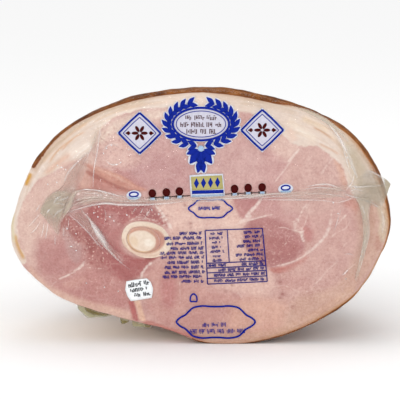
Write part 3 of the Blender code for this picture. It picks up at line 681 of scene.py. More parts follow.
def cured_ham():
    """The meat: cut face, rind round it and along the side, and the sawn shank end."""
    thing, place, row, angle, (face_rows, rim_rows, _) = ham_skin("cured_ham", 512, 168, 0.0, False)
    u, v = to_sheet(place[:, 0], place[:, 2])
    depth = place[:, 1] - FACE_Y
    front = depth < 0.012
    lean, tallow, fat, seam_and_shine = paint_face(u, v, front)
    side = step(0.0, 1.0, np.clip((row - face_rows) / rim_rows, 0, 1))
    skin = rind_reach(place, angle, row, face_rows)
    # The sawn shank end: red muscle, a rim of fat and the skin's edge.
    middle = section_middle(BODY_LENGTH)
    away = np.hypot((place[:, 0] - middle[0]) / SHANK_HALF_WIDTH,
                    (place[:, 2] - middle[1]) / SHANK_HALF_HEIGHT)
    behind = step(BODY_LENGTH - 0.002, BODY_LENGTH - 0.0005, depth)
    lean = lay(lean, "B98379", behind)
    fat = np.where(behind > 0.5, (away - 0.72) * 50, fat)
    skin = np.where(behind > 0.5, np.minimum(skin, (away - 0.93) * 60), skin)
    store_colour(thing, "lean", lean)
    store_colour(thing, "tallow", tallow)
    store(thing, "fat", np.clip(0.5 + fat / 12, 0, 1))
    store(thing, "seam_and_shine", seam_and_shine * front)
    store(thing, "skin", np.clip(0.5 + skin / 20, 0, 1))
    grain = np.zeros(len(u))
    for outline, amount in GRANULAR:
        grain = np.maximum(grain, amount * step(-7, 3, depth_inside(u, v, outline, 12)))
    store(thing, "grain", grain * front)
    layer = thing.data.attributes.new("run", "FLOAT_VECTOR", "POINT")
    inside = (face_radius(angle) - np.hypot(place[:, 0], place[:, 2] - section_middle(0.0)[1])) * 10
    layer.data.foreach_set("vector", np.stack([np.cos(angle), np.sin(angle), inside],
                                              axis=1).astype(np.float32).ravel())
    # Fine roughness under the film, with the rind a little proud of the bare meat.
    place = uneven(thing, place, angle, side, 0.00025)
    near_floor = side * step(0.0005, 0.012, place[:, 2])
    shift = rough(place * 1000, 7.0, 2) * (0.00008 + 0.00020 * near_floor)
    shift = shift + (0.0004 * step(-2, 1, skin) - 0.0006) * near_floor
    place = place + normals(thing) * shift[:, None]
    place[:, 2] = np.maximum(place[:, 2], 0.0)
    set_points(thing, place)
    return thing


# Materials

# Settings of a node that lays one colour over another, and of one that shades a colour by another
LAY_OVER = {"data_type": "RGBA"}
SHADE_BY = {"data_type": "RGBA", "blend_type": "MULTIPLY"}


def add(tree, kind, inputs=None, output=0, stops=(), **settings):
    """Adds a shader node and gives one of its outputs. Inputs are values, or sockets to link from.

    Stops are the places and colours of a colour ramp, where a colour may be one grey value.
    """
    made = tree.nodes.new("ShaderNode" + kind)
    for key, value in settings.items():
        setattr(made, key, value)
    for key, value in (inputs or {}).items():
        if isinstance(value, bpy.types.NodeSocket):
            tree.links.new(value, made.inputs[key])
        else:
            made.inputs[key].default_value = value
    if stops:
        band = made.color_ramp.elements
        while len(band) < len(stops):
            band.new(0.5)
        for element, (at, colour) in zip(band, stops):
            element.position = at
            element.color = colour if isinstance(colour, tuple) else (colour, colour, colour, 1.0)
    return made.outputs[output]


def new_finish(name):
    material = bpy.data.materials.new(name)
    material.use_nodes = True
    tree = material.node_tree
    return material, tree, tree.nodes["Principled BSDF"], tree.nodes["Material Output"]


def speckle(tree, size_mm, detail=3.0, stretch=(1, 1, 1), seed=0.0, roughness=0.55):
    """Noise on the object's own coordinates. Size is the width of its blotches in millimetres."""
    scale = tuple(1000 / size_mm / s for s in stretch)
    scaled = add(tree, "Mapping", {"Vector": add(tree, "TexCoord", {}, "Object"), "Scale": scale,
                                   "Location": (seed, seed, seed)})
    return add(tree, "TexNoise", {"Vector": scaled, "Scale": 1.0, "Detail": detail, "Roughness": roughness})


def mottled(tree, colour, pattern, stops):
    """A colour made lighter and darker by a pattern, through a ramp with these stops."""
    shade = add(tree, "ValToRGB", {0: pattern}, stops=stops)
    return add(tree, "Mix", {0: 1.0, 6: colour, 7: shade}, 2, **SHADE_BY)


def frayed(tree, value, noise, amount):
    """A value whose borders wander with a noise."""
    off = add(tree, "Math", {0: noise, 1: 0.5}, operation="SUBTRACT")
    off = add(tree, "Math", {0: off, 1: amount}, operation="MULTIPLY")
    return add(tree, "Math", {0: value, 1: off}, operation="ADD")


def cured_meat():
    """Brined and smoked pork: damp pink lean with fine grain, waxy cream fat and a brown smoked rind."""
    material, tree, shader, _ = new_finish("cured pork")
    place = add(tree, "TexCoord", {}, "Object")
    seam_and_shine, grain, fat, skin = (add(tree, "Attribute", {}, "Fac", attribute_name=name)
                              for name in ("seam_and_shine", "grain", "fat", "skin"))
    lean, tallow = (add(tree, "Attribute", {}, "Color", attribute_name=name) for name in ("lean", "tallow"))

    # Lean: blotches, fine fibre, a broken net of pale threads, and granules where the muscle is coarse.
    flesh = mottled(tree, lean, speckle(tree, 8.0, 4.0),
                    [(0.3, (0.92, 0.87, 0.87, 1)), (0.7, (1.06, 1.10, 1.09, 1))])
    flesh = mottled(tree, flesh, speckle(tree, 1.5, 4.0, seed=4.0, roughness=0.7),
                    [(0.3, (0.88, 0.80, 0.79, 1)), (0.7, (1.08, 1.15, 1.15, 1))])
    # The net's cells are about 6 mm wide, the granules about 2 mm, and both are swirled by a 6 mm noise.
    swirl = add(tree, "TexNoise", {"Vector": place, "Scale": 160.0, "Detail": 3.0}, "Color")
    swirl = add(tree, "VectorMath", {0: swirl, 1: (0.006, 0.006, 0.006)}, operation="MULTIPLY")
    warp = add(tree, "VectorMath", {0: place, 1: swirl}, operation="ADD")
    net = add(tree, "TexVoronoi", {"Vector": warp, "Scale": 170.0}, feature="DISTANCE_TO_EDGE")
    net = add(tree, "ValToRGB", {0: net}, stops=[(0.01, 1.0), (0.12, 0.0)])
    broken = add(tree, "ValToRGB", {0: speckle(tree, 9.0, 3.0, seed=9.0)}, stops=[(0.48, 0.03), (0.66, 0.18)])
    threads = add(tree, "Math", {0: net, 1: broken}, operation="MULTIPLY")
    flesh = add(tree, "Mix", {0: threads, 6: flesh, 7: tint("EBD3CA")}, 2, **LAY_OVER)
    cells = add(tree, "TexVoronoi", {"Vector": warp, "Scale": 480.0})
    for spots, stops, code in ((cells, [(0.12, 0.85), (0.34, 0.0)], "E8C9BE"),
                               (speckle(tree, 2.2, 2.0, seed=13.0), [(0.30, 0.85), (0.45, 0.0)], "A05A55")):
        spots = add(tree, "ValToRGB", {0: spots}, stops=stops)
        spots = add(tree, "Math", {0: spots, 1: grain}, operation="MULTIPLY")
        flesh = add(tree, "Mix", {0: spots, 6: flesh, 7: tint(code)}, 2, **LAY_OVER)
    # Pale seams of fat, and painted highlights of the film's wrinkles, laid over the lean.
    seam_and_shine = frayed(tree, seam_and_shine, speckle(tree, 2.4, 3.0, seed=5.0), 0.5)
    seam_and_shine = add(tree, "ValToRGB", {0: seam_and_shine}, stops=[(0.56, 0.0), (0.86, 0.85)])
    flesh = add(tree, "Mix", {0: seam_and_shine, 6: flesh, 7: tint("EAD9D0")}, 2, **LAY_OVER)

    # Fat: streaks that run along the rim, warmer towards the rind.
    run = add(tree, "Attribute", {}, "Vector", attribute_name="run")
    run = add(tree, "Mapping", {"Vector": run, "Scale": (5.0, 5.0, 55.0)})
    bands = add(tree, "TexNoise", {"Vector": run, "Scale": 1.0, "Detail": 4.0, "Roughness": 0.6})
    tallow = mottled(tree, tallow, bands, [(0.32, (0.95, 0.90, 0.85, 1)), (0.66, (1.03, 1.05, 1.07, 1))])
    tallow = mottled(tree, tallow, speckle(tree, 2.0, 3.0, seed=2.0), [(0.3, 0.96), (0.7, 1.03)])
    edge = frayed(tree, fat, speckle(tree, 3.5, 4.0, seed=3.0), 0.5)
    edge = add(tree, "ValToRGB", {0: edge}, stops=[(0.44, 0.0), (0.60, 1.0)])
    body = add(tree, "Mix", {0: edge, 6: flesh, 7: tallow}, 2, **LAY_OVER)

    # Rind: smoked brown with darker pores, golden where it thins at the cut.
    sideways = add(tree, "SeparateXYZ", {0: place})
    golden = add(tree, "ValToRGB", {0: skin}, stops=[(0.28, 0.0), (0.50, 0.85)])
    right = add(tree, "ValToRGB", {0: sideways}, stops=[(0.0, 0.55), (0.09, 1.0)])
    golden = add(tree, "Math", {0: golden, 1: right}, operation="MULTIPLY")
    body = add(tree, "Mix", {0: golden, 6: body, 7: tint("B98A5C")}, 2, **LAY_OVER)
    bark = add(tree, "ValToRGB", {0: speckle(tree, 15.0, 5.0, seed=6.0)},
               stops=[(0.28, tint("4E260E")), (0.44, tint("74400F")), (0.58, tint("8C521C")),
                      (0.74, tint("A86F35"))])
    bark = mottled(tree, bark, speckle(tree, 7.0, 4.0, (1, 5, 1), 27.0),
                   [(0.34, (0.74, 0.70, 0.66, 1)), (0.64, 1.12)])
    bark = mottled(tree, bark, speckle(tree, 1.6, 3.0, seed=21.0), [(0.32, 0.78), (0.52, 1.05)])
    thin = add(tree, "ValToRGB", {0: sideways}, stops=[(0.05, 0.0), (0.11, 1.0)])
    thin = add(tree, "Mix", {0: thin, 6: tint("7E400E"), 7: tint("AE6C30")}, 2, **LAY_OVER)
    thick = add(tree, "ValToRGB", {0: skin}, stops=[(0.58, 0.15), (0.76, 1.0)])
    bark = add(tree, "Mix", {0: thick, 6: thin, 7: bark}, 2, **LAY_OVER)
    rim = frayed(tree, skin, speckle(tree, 2.0, 4.0, seed=7.0), 0.16)
    cover = add(tree, "ValToRGB", {0: rim}, stops=[(0.485, 0.0), (0.52, 1.0)])
    tree.links.new(add(tree, "Mix", {0: cover, 6: body, 7: bark}, 2, **LAY_OVER), shader.inputs["Base Color"])
    shader.inputs["Roughness"].default_value = 0.6
    shader.inputs["IOR"].default_value = 1.4
    shader.inputs["Specular IOR Level"].default_value = 0.0
    coarse = add(tree, "Math", {0: speckle(tree, 5.0, 3.0, seed=1.0), 1: 1.4}, operation="MULTIPLY")
    height = add(tree, "Math", {0: speckle(tree, 1.2, 3.0, seed=8.0), 1: coarse}, operation="ADD")
    proud = add(tree, "Math", {0: cover, 1: 1.2}, operation="MULTIPLY")
    height = add(tree, "Math", {0: height, 1: proud}, operation="ADD")
    normal = add(tree, "Bump", {"Height": height, "Distance": 0.00045, "Strength": 0.6})
    tree.links.new(normal, shader.inputs["Normal"])
    return material


def painted_bone(name, grain_mm, rough_value, coat):
    """Sawn bone or marrow: the painted tones of the cut, with the grain that the saw left."""
    material, tree, shader, _ = new_finish(name)
    cut = mottled(tree, add(tree, "Attribute", {}, "Color", attribute_name="cut"),
                  speckle(tree, grain_mm, 3.0, seed=5.0),
                  [(0.3, (0.93, 0.91, 0.88, 1)), (0.65, (1.03, 1.04, 1.05, 1))])
    tree.links.new(cut, shader.inputs["Base Color"])
    shader.inputs["Roughness"].default_value = rough_value
    shader.inputs["IOR"].default_value = 1.45
    shader.inputs["Specular IOR Level"].default_value = 0.35
    shader.inputs["Coat Weight"].default_value = coat
    shader.inputs["Coat Roughness"].default_value = 0.15
    grooves = speckle(tree, grain_mm * 0.6, 3.0, seed=2.0)
    normal = add(tree, "Bump", {"Height": grooves, "Distance": 0.00035, "Strength": 0.6})
    tree.links.new(normal, shader.inputs["Normal"])
    return material


def clear_film(name, body, gloss=0.10, patchy=0.10):
    """Shrunk barrier film: clear and glossy, clouded where it lies loose or folded."""
    material, tree, shader, output = new_finish(name)
    cloud = mottled(tree, tint(body), speckle(tree, 6.0, 4.0, seed=11.0), [(0.3, 0.95), (0.7, 1.05)])
    tree.links.new(cloud, shader.inputs["Base Color"])
    shader.inputs["Roughness"].default_value = 0.35
    shader.inputs["Specular IOR Level"].default_value = 0.3
    clear = add(tree, "BsdfTransparent", {"Color": (1, 1, 1, 1)})
    fine = add(tree, "Math", {0: speckle(tree, 2.0, 2.0, (1, 1, 2), 19.0), 1: 0.35}, operation="MULTIPLY")
    creases = add(tree, "Math", {0: speckle(tree, 6.0, 2.0, seed=17.0), 1: fine}, operation="ADD")
    crumpled = add(tree, "Bump", {"Height": creases, "Distance": 0.0016, "Strength": 0.6})
    shine = add(tree, "BsdfGlossy", {"Color": (1, 1, 1, 1), "Roughness": gloss, "Normal": crumpled})
    fresnel = add(tree, "Fresnel", {"IOR": 1.42, "Normal": crumpled})
    fresnel = add(tree, "Math", {0: fresnel, 1: 0.35}, operation="MINIMUM")
    sheen, haze = (add(tree, "Attribute", {}, "Fac", attribute_name=kept) for kept in ("sheen", "haze"))
    mirrored = add(tree, "Math", {0: fresnel, 1: sheen}, operation="MULTIPLY")
    glossy = add(tree, "MixShader", {0: mirrored, 1: clear, 2: shine})
    blotches = add(tree, "ValToRGB", {0: speckle(tree, 4.0, 4.0, seed=23.0)},
                   stops=[(0.3, 1 - 1.5 * patchy), (0.7, 1 + patchy)])
    amount = add(tree, "Math", {0: haze, 1: blotches}, operation="MULTIPLY", use_clamp=True)
    whole = add(tree, "MixShader", {0: amount, 1: glossy, 2: shader.outputs[0]})
    tree.links.new(whole, output.inputs["Surface"])
    return material


def ink(name, code, worn=0.10):
    """Flexographic ink on film: flat, slightly uneven coverage with a soft gloss."""
    material, tree, shader, _ = new_finish(name)
    cover = mottled(tree, tint(code), speckle(tree, 1.4, 3.0, seed=31.0),
                    [(0.30, 1 - worn), (0.6, 1.0), (0.8, 1 + worn)])
    tree.links.new(cover, shader.inputs["Base Color"])
    shader.inputs["Roughness"].default_value = 0.45
    shader.inputs["Specular IOR Level"].default_value = 0.05
    return material


def coated_paper():
    """Price-gun sticker: bright coated paper with a faint fibre."""
    material, tree, shader, _ = new_finish("coated label paper")
    fibre = add(tree, "ValToRGB", {0: speckle(tree, 0.8, 3.0, (3, 1, 1), 2.0)},
                stops=[(0.3, tint("E9EFF2")), (0.7, tint("FBFDFE"))])
    tree.links.new(fibre, shader.inputs["Base Color"])
    shader.inputs["Roughness"].default_value = 0.6
    normal = add(tree, "Bump", {"Height": speckle(tree, 0.8, 3.0, (3, 1, 1)), "Distance": 0.00008,
                                "Strength": 0.4})
    tree.links.new(normal, shader.inputs["Normal"])
    return material


# Pieces on the face

def on_film(u, v, lift):
    x, z = to_face(np.asarray(u, float), np.asarray(v, float))
    y = face_level(x, z, True) - lift
    return np.stack([x, y, z], axis=1)


def mesh_piece(name, vertices, faces):
    mesh = bpy.data.meshes.new(name)
    mesh.from_pydata([tuple(p) for p in vertices], [], [tuple(f) for f in faces])
    mesh.validate()
    thing = bpy.data.objects.new(name, mesh)
    bpy.context.scene.collection.objects.link(thing)
    mesh.shade_smooth()
    return thing


def grid_faces(across, down):
    """Faces of a grid whose points run down each column in turn."""
    faces = []
    for i in range(across):
        for j in range(down):
            a = i * (down + 1) + j
            faces.append((a, a + 1, a + down + 2, a + down + 1))
    return faces


def thicken(thing, thickness):
    """Gives a sheet its wall, outwards and inwards alike."""
    bpy.ops.object.select_all(action="DESELECT")
    thing.select_set(True)
    bpy.context.view_layer.objects.active = thing
    wall = thing.modifiers.new("wall", "SOLIDIFY")
    wall.thickness = thickness
    wall.offset = 0.0
    bpy.ops.object.modifier_apply(modifier="wall")


class Print:
    """Flat shapes of one ink, gathered on the sheet and laid on the film as one piece."""

    def __init__(self):
        self.points = []
        self.faces = []

    def face(self, corners):
        start = len(self.points)
        self.points += [tuple(c[:2]) for c in corners]
        self.faces.append(range(start, start + len(corners)))

    def bar(self, a, b, width, steps=None):
        """A straight bar from a to b."""
        a, b = np.array(a, float), np.array(b, float)
        run = b - a
        side = np.array([-run[1], run[0]]) / max(1e-9, np.hypot(*run)) * width / 2
        steps = steps or max(1, int(np.hypot(*run) / 8))
        for i in range(steps):
            p, q = a + run * i / steps, a + run * (i + 1) / steps
            self.face([p - side, q - side, q + side, p + side])

    def stroke(self, points, width, closed=False):
        """A line of even width along a curve."""
        curve = closed_curve(points, 6) if closed else open_curve(points, 1.6)
        ahead = np.roll(curve, -1, 0) - np.roll(curve, 1, 0)
        if not closed:
            ahead[0], ahead[-1] = curve[1] - curve[0], curve[-1] - curve[-2]
        side = np.stack([-ahead[:, 1], ahead[:, 0]], axis=1)
        side = side / np.hypot(*side.T)[:, None] * width / 2
        for i in range(len(curve) if closed else len(curve) - 1):
            j = (i + 1) % len(curve)
            self.face([curve[i] - side[i], curve[j] - side[j], curve[j] + side[j], curve[i] + side[i]])

    def fill(self, points, rings=5, smooth=True):
        """A filled shape, cut into rings round its middle so that it follows the curved face."""
        curve = closed_curve(points, 6) if smooth else np.array(points, float)
        middle = curve.mean(0)
        for r in range(rings):
            inner = middle + (curve - middle) * r / rings
            outer = middle + (curve - middle) * (r + 1) / rings
            for i in range(len(curve)):
                j = (i + 1) % len(curve)
                if r == 0:
                    self.face([middle, outer[i], outer[j]])
                else:
                    self.face([inner[i], outer[i], outer[j], inner[j]])

    def lay(self, name, lift, material):
        u, v = np.array(self.points).T
        thing = mesh_piece(name, on_film(u, v, lift), self.faces)
        shape = bmesh.new()
        shape.from_mesh(thing.data)
        bmesh.ops.remove_doubles(shape, verts=shape.verts, dist=0.00002)
        for face in shape.faces:
            if face.normal.y > 0:
                face.normal_flip()
        shape.to_mesh(thing.data)
        shape.free()
        thicken(thing, PRINT_WALL)
        thing.data.materials.append(material)
        return thing


def oval(middle, across, up, turn=0.0, count=24):
    """Points of an oval on the sheet."""
    found = []
    for i in range(count):
        a = 2 * math.pi * i / count
        x, y = across * math.cos(a), up * math.sin(a)
        t = math.radians(turn)
        found.append((middle[0] + x * math.cos(t) - y * math.sin(t),
                      middle[1] + x * math.sin(t) + y * math.cos(t)))
    return found


def words(sheet, a, b, tall, rng, stroke=0.86, gap=0.42):
    """A line of made-up words from a to b: groups of short upright strokes, some of them joined."""
    a, b = np.array(a, float), np.array(b, float)
    length = np.hypot(*(b - a))
    ahead = (b - a) / length
    up = np.array([ahead[1], -ahead[0]])
    at = 0.0
    while at < length:
        word = min(length, at + rng.uniform(3.0, 8.5) * (stroke + gap))
        while at < word:
            foot, head = rng.choice([0.0, 0.0, 0.25]), rng.choice([1.0, 1.0, 0.7])
            p = a + ahead * at
            sheet.bar(p + up * tall * (foot - 0.5), p + up * tall * (head - 0.5), stroke, 1)
            if rng.random() < 0.55:
                level = up * tall * (rng.choice([0.08, 0.5, 0.92]) - 0.5)
                sheet.bar(p + level, p + level + ahead * (stroke + gap), stroke * 0.8, 1)
            at += stroke + gap
        at += 1.6 * (stroke + gap)


def printed_design():
    """The bag's print: plaque in a wreath, lozenges, tag and dots at the seal, small print and a table."""
    rng = np.random.default_rng(11)
    white, pale, blue, maroon, mustard, sky, dark, faded = (Print() for _ in range(8))

    # Oval plaque in a wreath of leaves, with a sprig hanging from it.
    middle = np.array([201.0, 125.0])
    white.fill(oval(middle, 29.5, 17.5, count=32), 4)
    pale.fill(oval(middle, 28, 16, count=32), 4)
    blue.stroke(oval(middle, 28, 16, count=32), 2.2, True)
    blue.stroke(oval(middle, 24.6, 12.8, count=32), 0.8, True)
    for row, half in ((-6.2, 15), (0.6, 20), (7.2, 14)):
        words(maroon, middle + (-half, row), middle + (half, row), 4.6, rng, 0.8, 0.8)

    def leaf(root, turn, size, wide=2.7):
        a = math.radians(turn)
        centre = (root[0] + 5.8 * size * math.cos(a), root[1] + 5.8 * size * math.sin(a))
        white.fill(oval(centre, 7.0 * size, (wide + 0.9) * size, turn, 12), 2)
        tip = [(root[0] + size * (x * math.cos(a) - y * math.sin(a)),
                root[1] + size * (x * math.sin(a) + y * math.cos(a)))
               for x, y in ((0, 0), (3.5, wide * 0.8), (6.5, wide), (9.5, wide * 0.6), (12.2, 0),
                            (9.5, -wide * 0.6), (6.5, -wide), (3.5, -wide * 0.8))]
        blue.fill(tip, 2)

    for i in range(22):
        a = math.radians(-66 + 312 * i / 21)
        root = (middle[0] + 33 * math.cos(a), middle[1] + 21.5 * math.sin(a))
        along = math.degrees(math.atan2(21.5 * math.cos(a), -33 * math.sin(a)))
        flow = along if math.cos(a) < 0 else along + 180
        leaf(root, flow + 24, 0.86)
        leaf(root, flow - 28, 0.80)
    for root, turn, size in (((201, 150), 90, 1.5), ((200, 151), 128, 1.35), ((202, 151), 52, 1.35),
                             ((198, 150), 158, 1.0), ((204, 150), 22, 1.0), ((201, 160), 104, 1.1),
                             ((201, 160), 76, 1.1)):
        leaf(root, turn, size, 3.2)
    sky.fill(oval((201, 149), 3.0, 3.0, count=10), 1)
    # A lozenge either side, with a border, an inner line and a small flower.
    tips = ((0, -20), (9, -12), (21, 0), (9, 12), (0, 20), (-9, 12), (-21, 0), (-9, -12))
    for centre in ((140, 134), (262, 131)):
        def corners(scale, centre=centre):
            return [(centre[0] + x * scale, centre[1] + y * scale) for x, y in tips]

        white.fill(corners(1.10), 4, smooth=False)
        pale.fill(corners(1.0), 4, smooth=False)
        for scale, width in ((1.0, 2.0), (0.78, 0.8)):
            edge = corners(scale)
            for p, q in zip(edge, edge[1:] + edge[:1]):
                blue.bar(p, q, width)
        for i in range(6):
            a = math.pi * i / 3
            maroon.fill(oval((centre[0] + 4.6 * math.cos(a), centre[1] + 4.6 * math.sin(a)), 3.4, 1.6,
                             math.degrees(a), 10), 1)
        for side in (-1, 1):
            maroon.fill([(centre[0] + side * 11, centre[1] - 2.2), (centre[0] + side * 14.5, centre[1]),
                         (centre[0] + side * 11, centre[1] + 2.2), (centre[0] + side * 9, centre[1])], 1,
                        smooth=False)

    # Mustard tag at the seal, with a row of lozenges.
    white.fill([(189.5, 175.5), (207, 174), (223, 174), (224, 185), (225, 196), (207, 197.5),
                (191, 197.5), (190, 186)], 3, smooth=False)
    mustard.fill([(191, 177), (207, 176), (222, 175.5), (222.8, 184), (223.4, 189), (207, 190),
                  (192, 190.5), (191.4, 184)], 3, smooth=False)
    blue.bar((192, 192.4), (223.6, 191.4), 3.4, 4)
    sky.bar((192, 196.0), (224, 195.0), 1.8, 4)
    for i in range(4):
        a, b = 196.5 + 7 * i, 183.4 - 0.3 * i
        blue.fill([(a, b - 5.2), (a + 2.6, b), (a, b + 5.2), (a - 2.6, b)], 1, smooth=False)
    # Row of maroon dots along the seal, on a thin dark line.
    for a, b in ((152.5, 193.5), (166.5, 192.5), (179.5, 191.5), (234.5, 189), (248, 188), (262, 187.5)):
        maroon.fill(oval((a, b), 3.8, 4.2, count=12), 1)
        sky.bar((a - 2.0, b + 5.6), (a + 2.4, b + 5.5), 2.6)
        dark.bar((a - 3.2, b + 3.6), (a - 3.0, b + 7.0), 0.8)
        dark.bar((a + 3.6, b + 3.6), (a + 3.5, b + 7.0), 0.8)
    dark.stroke([(154, 197.6), (170, 196.8), (190, 195.6)], 0.9)
    dark.stroke([(225, 194.2), (244, 193.2), (262, 192.4)], 0.7)
    for a, b in ((134, 195.5), (285.5, 189)):
        white.fill(oval((a, b), 7.5, 5.0, -4), 2)
        blue.stroke(oval((a, b - 1), 4.4, 2.3, -4, 14), 1.5, True)
        sky.bar((a - 5, b + 2.9), (a + 5, b + 2.5), 1.8)

    def wavy(centre, across, up, floor):
        found = []
        for i in range(26):
            a = 2 * math.pi * i / 26
            reach = 1 + 0.07 * math.cos(6 * a)
            found.append((centre[0] + across * reach * math.cos(a),
                          min(centre[1] - up * reach * math.sin(a), floor)))
        return found

    # Wavy ovals: a small one under the seal, and one low on the face, with two lines in it and an arch above.
    blue.stroke(wavy((210.5, 208.5), 20.5, 9.5, 400), 1.5, True)
    words(blue, (199, 208.5), (222, 208), 3.4, rng)
    blue.stroke(wavy((216, 323.5), 37, 17, 340.5), 1.8, True)
    words(blue, (203, 326.5), (228, 326), 4.4, rng, 0.7, 0.7)
    words(blue, (189, 333.4), (245, 332.6), 4.6, rng, 0.7, 0.7)
    blue.stroke([(190.5, 302), (190.8, 297), (193.6, 294.6), (196.4, 297), (196.8, 302), (193.6, 302.4)],
                1.5, True)
    # Small print beside the table.
    for v, low_u, high_u in ((233.5, 180, 202), (238, 165, 202), (243.5, 167, 202), (248.5, 171, 203),
                             (253, 160, 203), (257.5, 161, 203.5), (262.5, 168, 203.5),
                             (267.5, 165, 203.5), (272.5, 165, 204), (277, 163, 204), (282, 182, 204)):
        words(faded, (low_u, v - 0.022 * (low_u - 182)), (high_u, v - 0.022 * (high_u - 182)), 3.1, rng)

    # Ruled table, leaning a little.
    def cell(s, t):
        left, right = np.array([205.2, 230.4]), np.array([262.4, 228.3])
        low_left, low_right = np.array([207.6, 284.6]), np.array([267.6, 282.0])
        return (left * (1 - s) + right * s) * (1 - t) + (low_left * (1 - s) + low_right * s) * t

    for t in (0.0, 0.61, 0.70, 0.79, 0.895, 1.0):
        faded.bar(cell(0, t), cell(1, t), 1.0)
    faded.bar(cell(0, 0), cell(0, 1), 1.1)
    faded.bar(cell(1, 0), cell(1, 1), 1.1)
    faded.bar(cell(0.385, 0), cell(0.385, 0.61), 0.9)
    for i in range(7):
        t = 0.065 + 0.083 * i
        width = rng.uniform(0.07, 0.12)
        words(faded, cell(0.19 - width, t), cell(0.19 + width, t), 2.8, rng)
        words(faded, cell(0.97 - rng.uniform(0.20, 0.48), t), cell(0.965, t), 2.8, rng)
    for t, start, end in ((0.655, 0.04, 0.34), (0.655, 0.60, 0.96), (0.745, 0.20, 0.96),
                          (0.842, 0.12, 0.96), (0.948, 0.12, 0.96)):
        words(faded, cell(start, t), cell(end, t), 3.0, rng)

    pieces = []
    for shapes, name, lift, code in ((white, "print_white", 0.00010, "DDDFEA"),
                                     (pale, "print_lavender", 0.00014, "CDCBDA"),
                                     (mustard, "print_mustard", 0.00018, "B6AC70"),
                                     (maroon, "print_maroon", 0.00022, "460B0B"),
                                     (blue, "print_blue", 0.00026, "122894"),
                                     (sky, "print_sky", 0.00032, "A8C4E2"),
                                     (dark, "print_dark", 0.00030, "21151A"),
                                     (faded, "print_small", 0.00024, "26247F")):
        pieces.append(shapes.lay(name, lift, ink(name.replace("_", " ") + " ink", code)))
    return pieces


def date_sticker():
    """The price-gun sticker: paper with bowed ends, and three rows of stamped marks."""
    corners = [(126.2, 282.0), (136, 280.2), (146.6, 278.9), (150.6, 282.6), (152.7, 288.5),
               (152.6, 293.5), (151.5, 298.8), (141, 300.7), (130.5, 302.3), (127.0, 297.0),
               (125.0, 290.5), (125.6, 286.0)]
    sheet = Print()
    sheet.fill(corners, 5, smooth=False)
    paper = sheet.lay("label_paper", 0.00035, coated_paper())
    thicken(paper, PAPER_WALL)
    marks = Print()
    rng = np.random.default_rng(5)
    for v, low_u, high_u, tall in ((286.0, 128.5, 148.0, 4.8), (291.6, 130.5, 146.5, 3.6),
                                   (296.4, 134.5, 150.0, 4.0)):
        words(marks, (low_u, v), (high_u, v - 0.16 * (high_u - low_u)), tall, rng, 1.05, 0.6)
    stamped = marks.lay("label_marks", 0.00052, ink("stamp ink", "3E4348", 0.3))
    return paper, stamped


def film_fold(name, lines, material, lift=0.00035, spread=1.0):
    """Creases that stand off the face, each a long rounded rib, whitened along its crest partly as stretched
    film and partly as painted highlight. Points are (u, v, half width, brightness).
    """
    points, faces, shine = [], [], []
    for line in lines:
        curve = open_curve(line, 1.1)
        ahead = np.gradient(curve[:, :2], axis=0)
        side = np.stack([-ahead[:, 1], ahead[:, 0]], axis=1)
        side = side / np.hypot(*side.T)[:, None]
        count = len(curve)
        swell = np.sin(np.pi * np.clip(np.linspace(0, 1, count), 0.02, 0.98)) ** 0.5
        start = len(points)
        for i in range(count):
            half, bright = spread * curve[i, 2] * swell[i], curve[i, 3] * swell[i]
            for s in (-1.0, -0.5, 0.0, 0.5, 1.0):
                points.append((curve[i, 0] + side[i, 0] * s * half, curve[i, 1] + side[i, 1] * s * half,
                               0.00035 * half * (1 - s * s)))
                shine.append(bright * (1 - 0.9 * abs(s)))
        for i in range(count - 1):
            for s in range(4):
                a = start + i * 5 + s
                faces.append((a, a + 1, a + 6, a + 5))
    return stood_off(name, points, faces, shine, lift, FOLD_WALL, material)


def stood_off(name, points, faces, haze, lift, wall, material, hinge=400.0):
    """A sheet laid over the face at (u, v, height) points, with its wall and its clouding."""
    places = np.array(points)
    base = on_film(places[:, 0], places[:, 1], lift)
    base[:, 1] = on_film(np.minimum(places[:, 0], hinge), places[:, 1], lift)[:, 1] - places[:, 2]
    thing = mesh_piece(name, base, faces)
    for polygon in thing.data.polygons:
        if polygon.normal.y > 0:
            polygon.flip()
    store(thing, "haze", np.clip(np.array(haze), 0, 1))
    store(thing, "sheen", np.ones(len(points)))
    thicken(thing, wall)
    thing.data.materials.append(material)
    return thing


def film_patch(name, top, bottom, across, down, fold, material, cloud, lift=0.0004, crisp=(14, 14, 7, 7),
               hinge=400.0):
    """A loose patch of film between two drawn edges. Fold gives its height in metres at (along, down).

    Crisp tells how sharply its clouding stops at the start, the end, the top edge and the bottom edge.
    Past the hinge the patch stands straight off the side of the ham.
    """
    upper, under = open_curve(top, 0.5), open_curve(bottom, 0.5)
    points, haze = [], []
    for i in range(across + 1):
        s = i / across
        a = np.array([np.interp(s * (len(upper) - 1), np.arange(len(upper)), upper[:, k]) for k in (0, 1)])
        b = np.array([np.interp(s * (len(under) - 1), np.arange(len(under)), under[:, k]) for k in (0, 1)])
        for j in range(down + 1):
            t = j / down
            u, v = a * (1 - t) + b * t
            points.append((u, v, fold(s, t)))
            border = 1.0
            for rate, away in zip(crisp, (s, 1 - s, t, 1 - t)):
                border *= min(1.0, rate * away)
            haze.append(cloud(s, t) * border)
    return stood_off(name, points, grid_faces(across, down), haze, lift, PATCH_WALL, material, hinge)


def lump(s, t, power=1.0):
    return max(0.0, math.sin(math.pi * s) * math.sin(math.pi * t)) ** power


def ripples(at, seed):
    """Uneven waves, about -1 to 1."""
    long, middling = math.sin(11 * at + seed), 0.8 * math.sin(23 * at + 2.3 * seed)
    return (long + middling + 0.6 * math.sin(41 * at + 4.1 * seed)) / 2.0
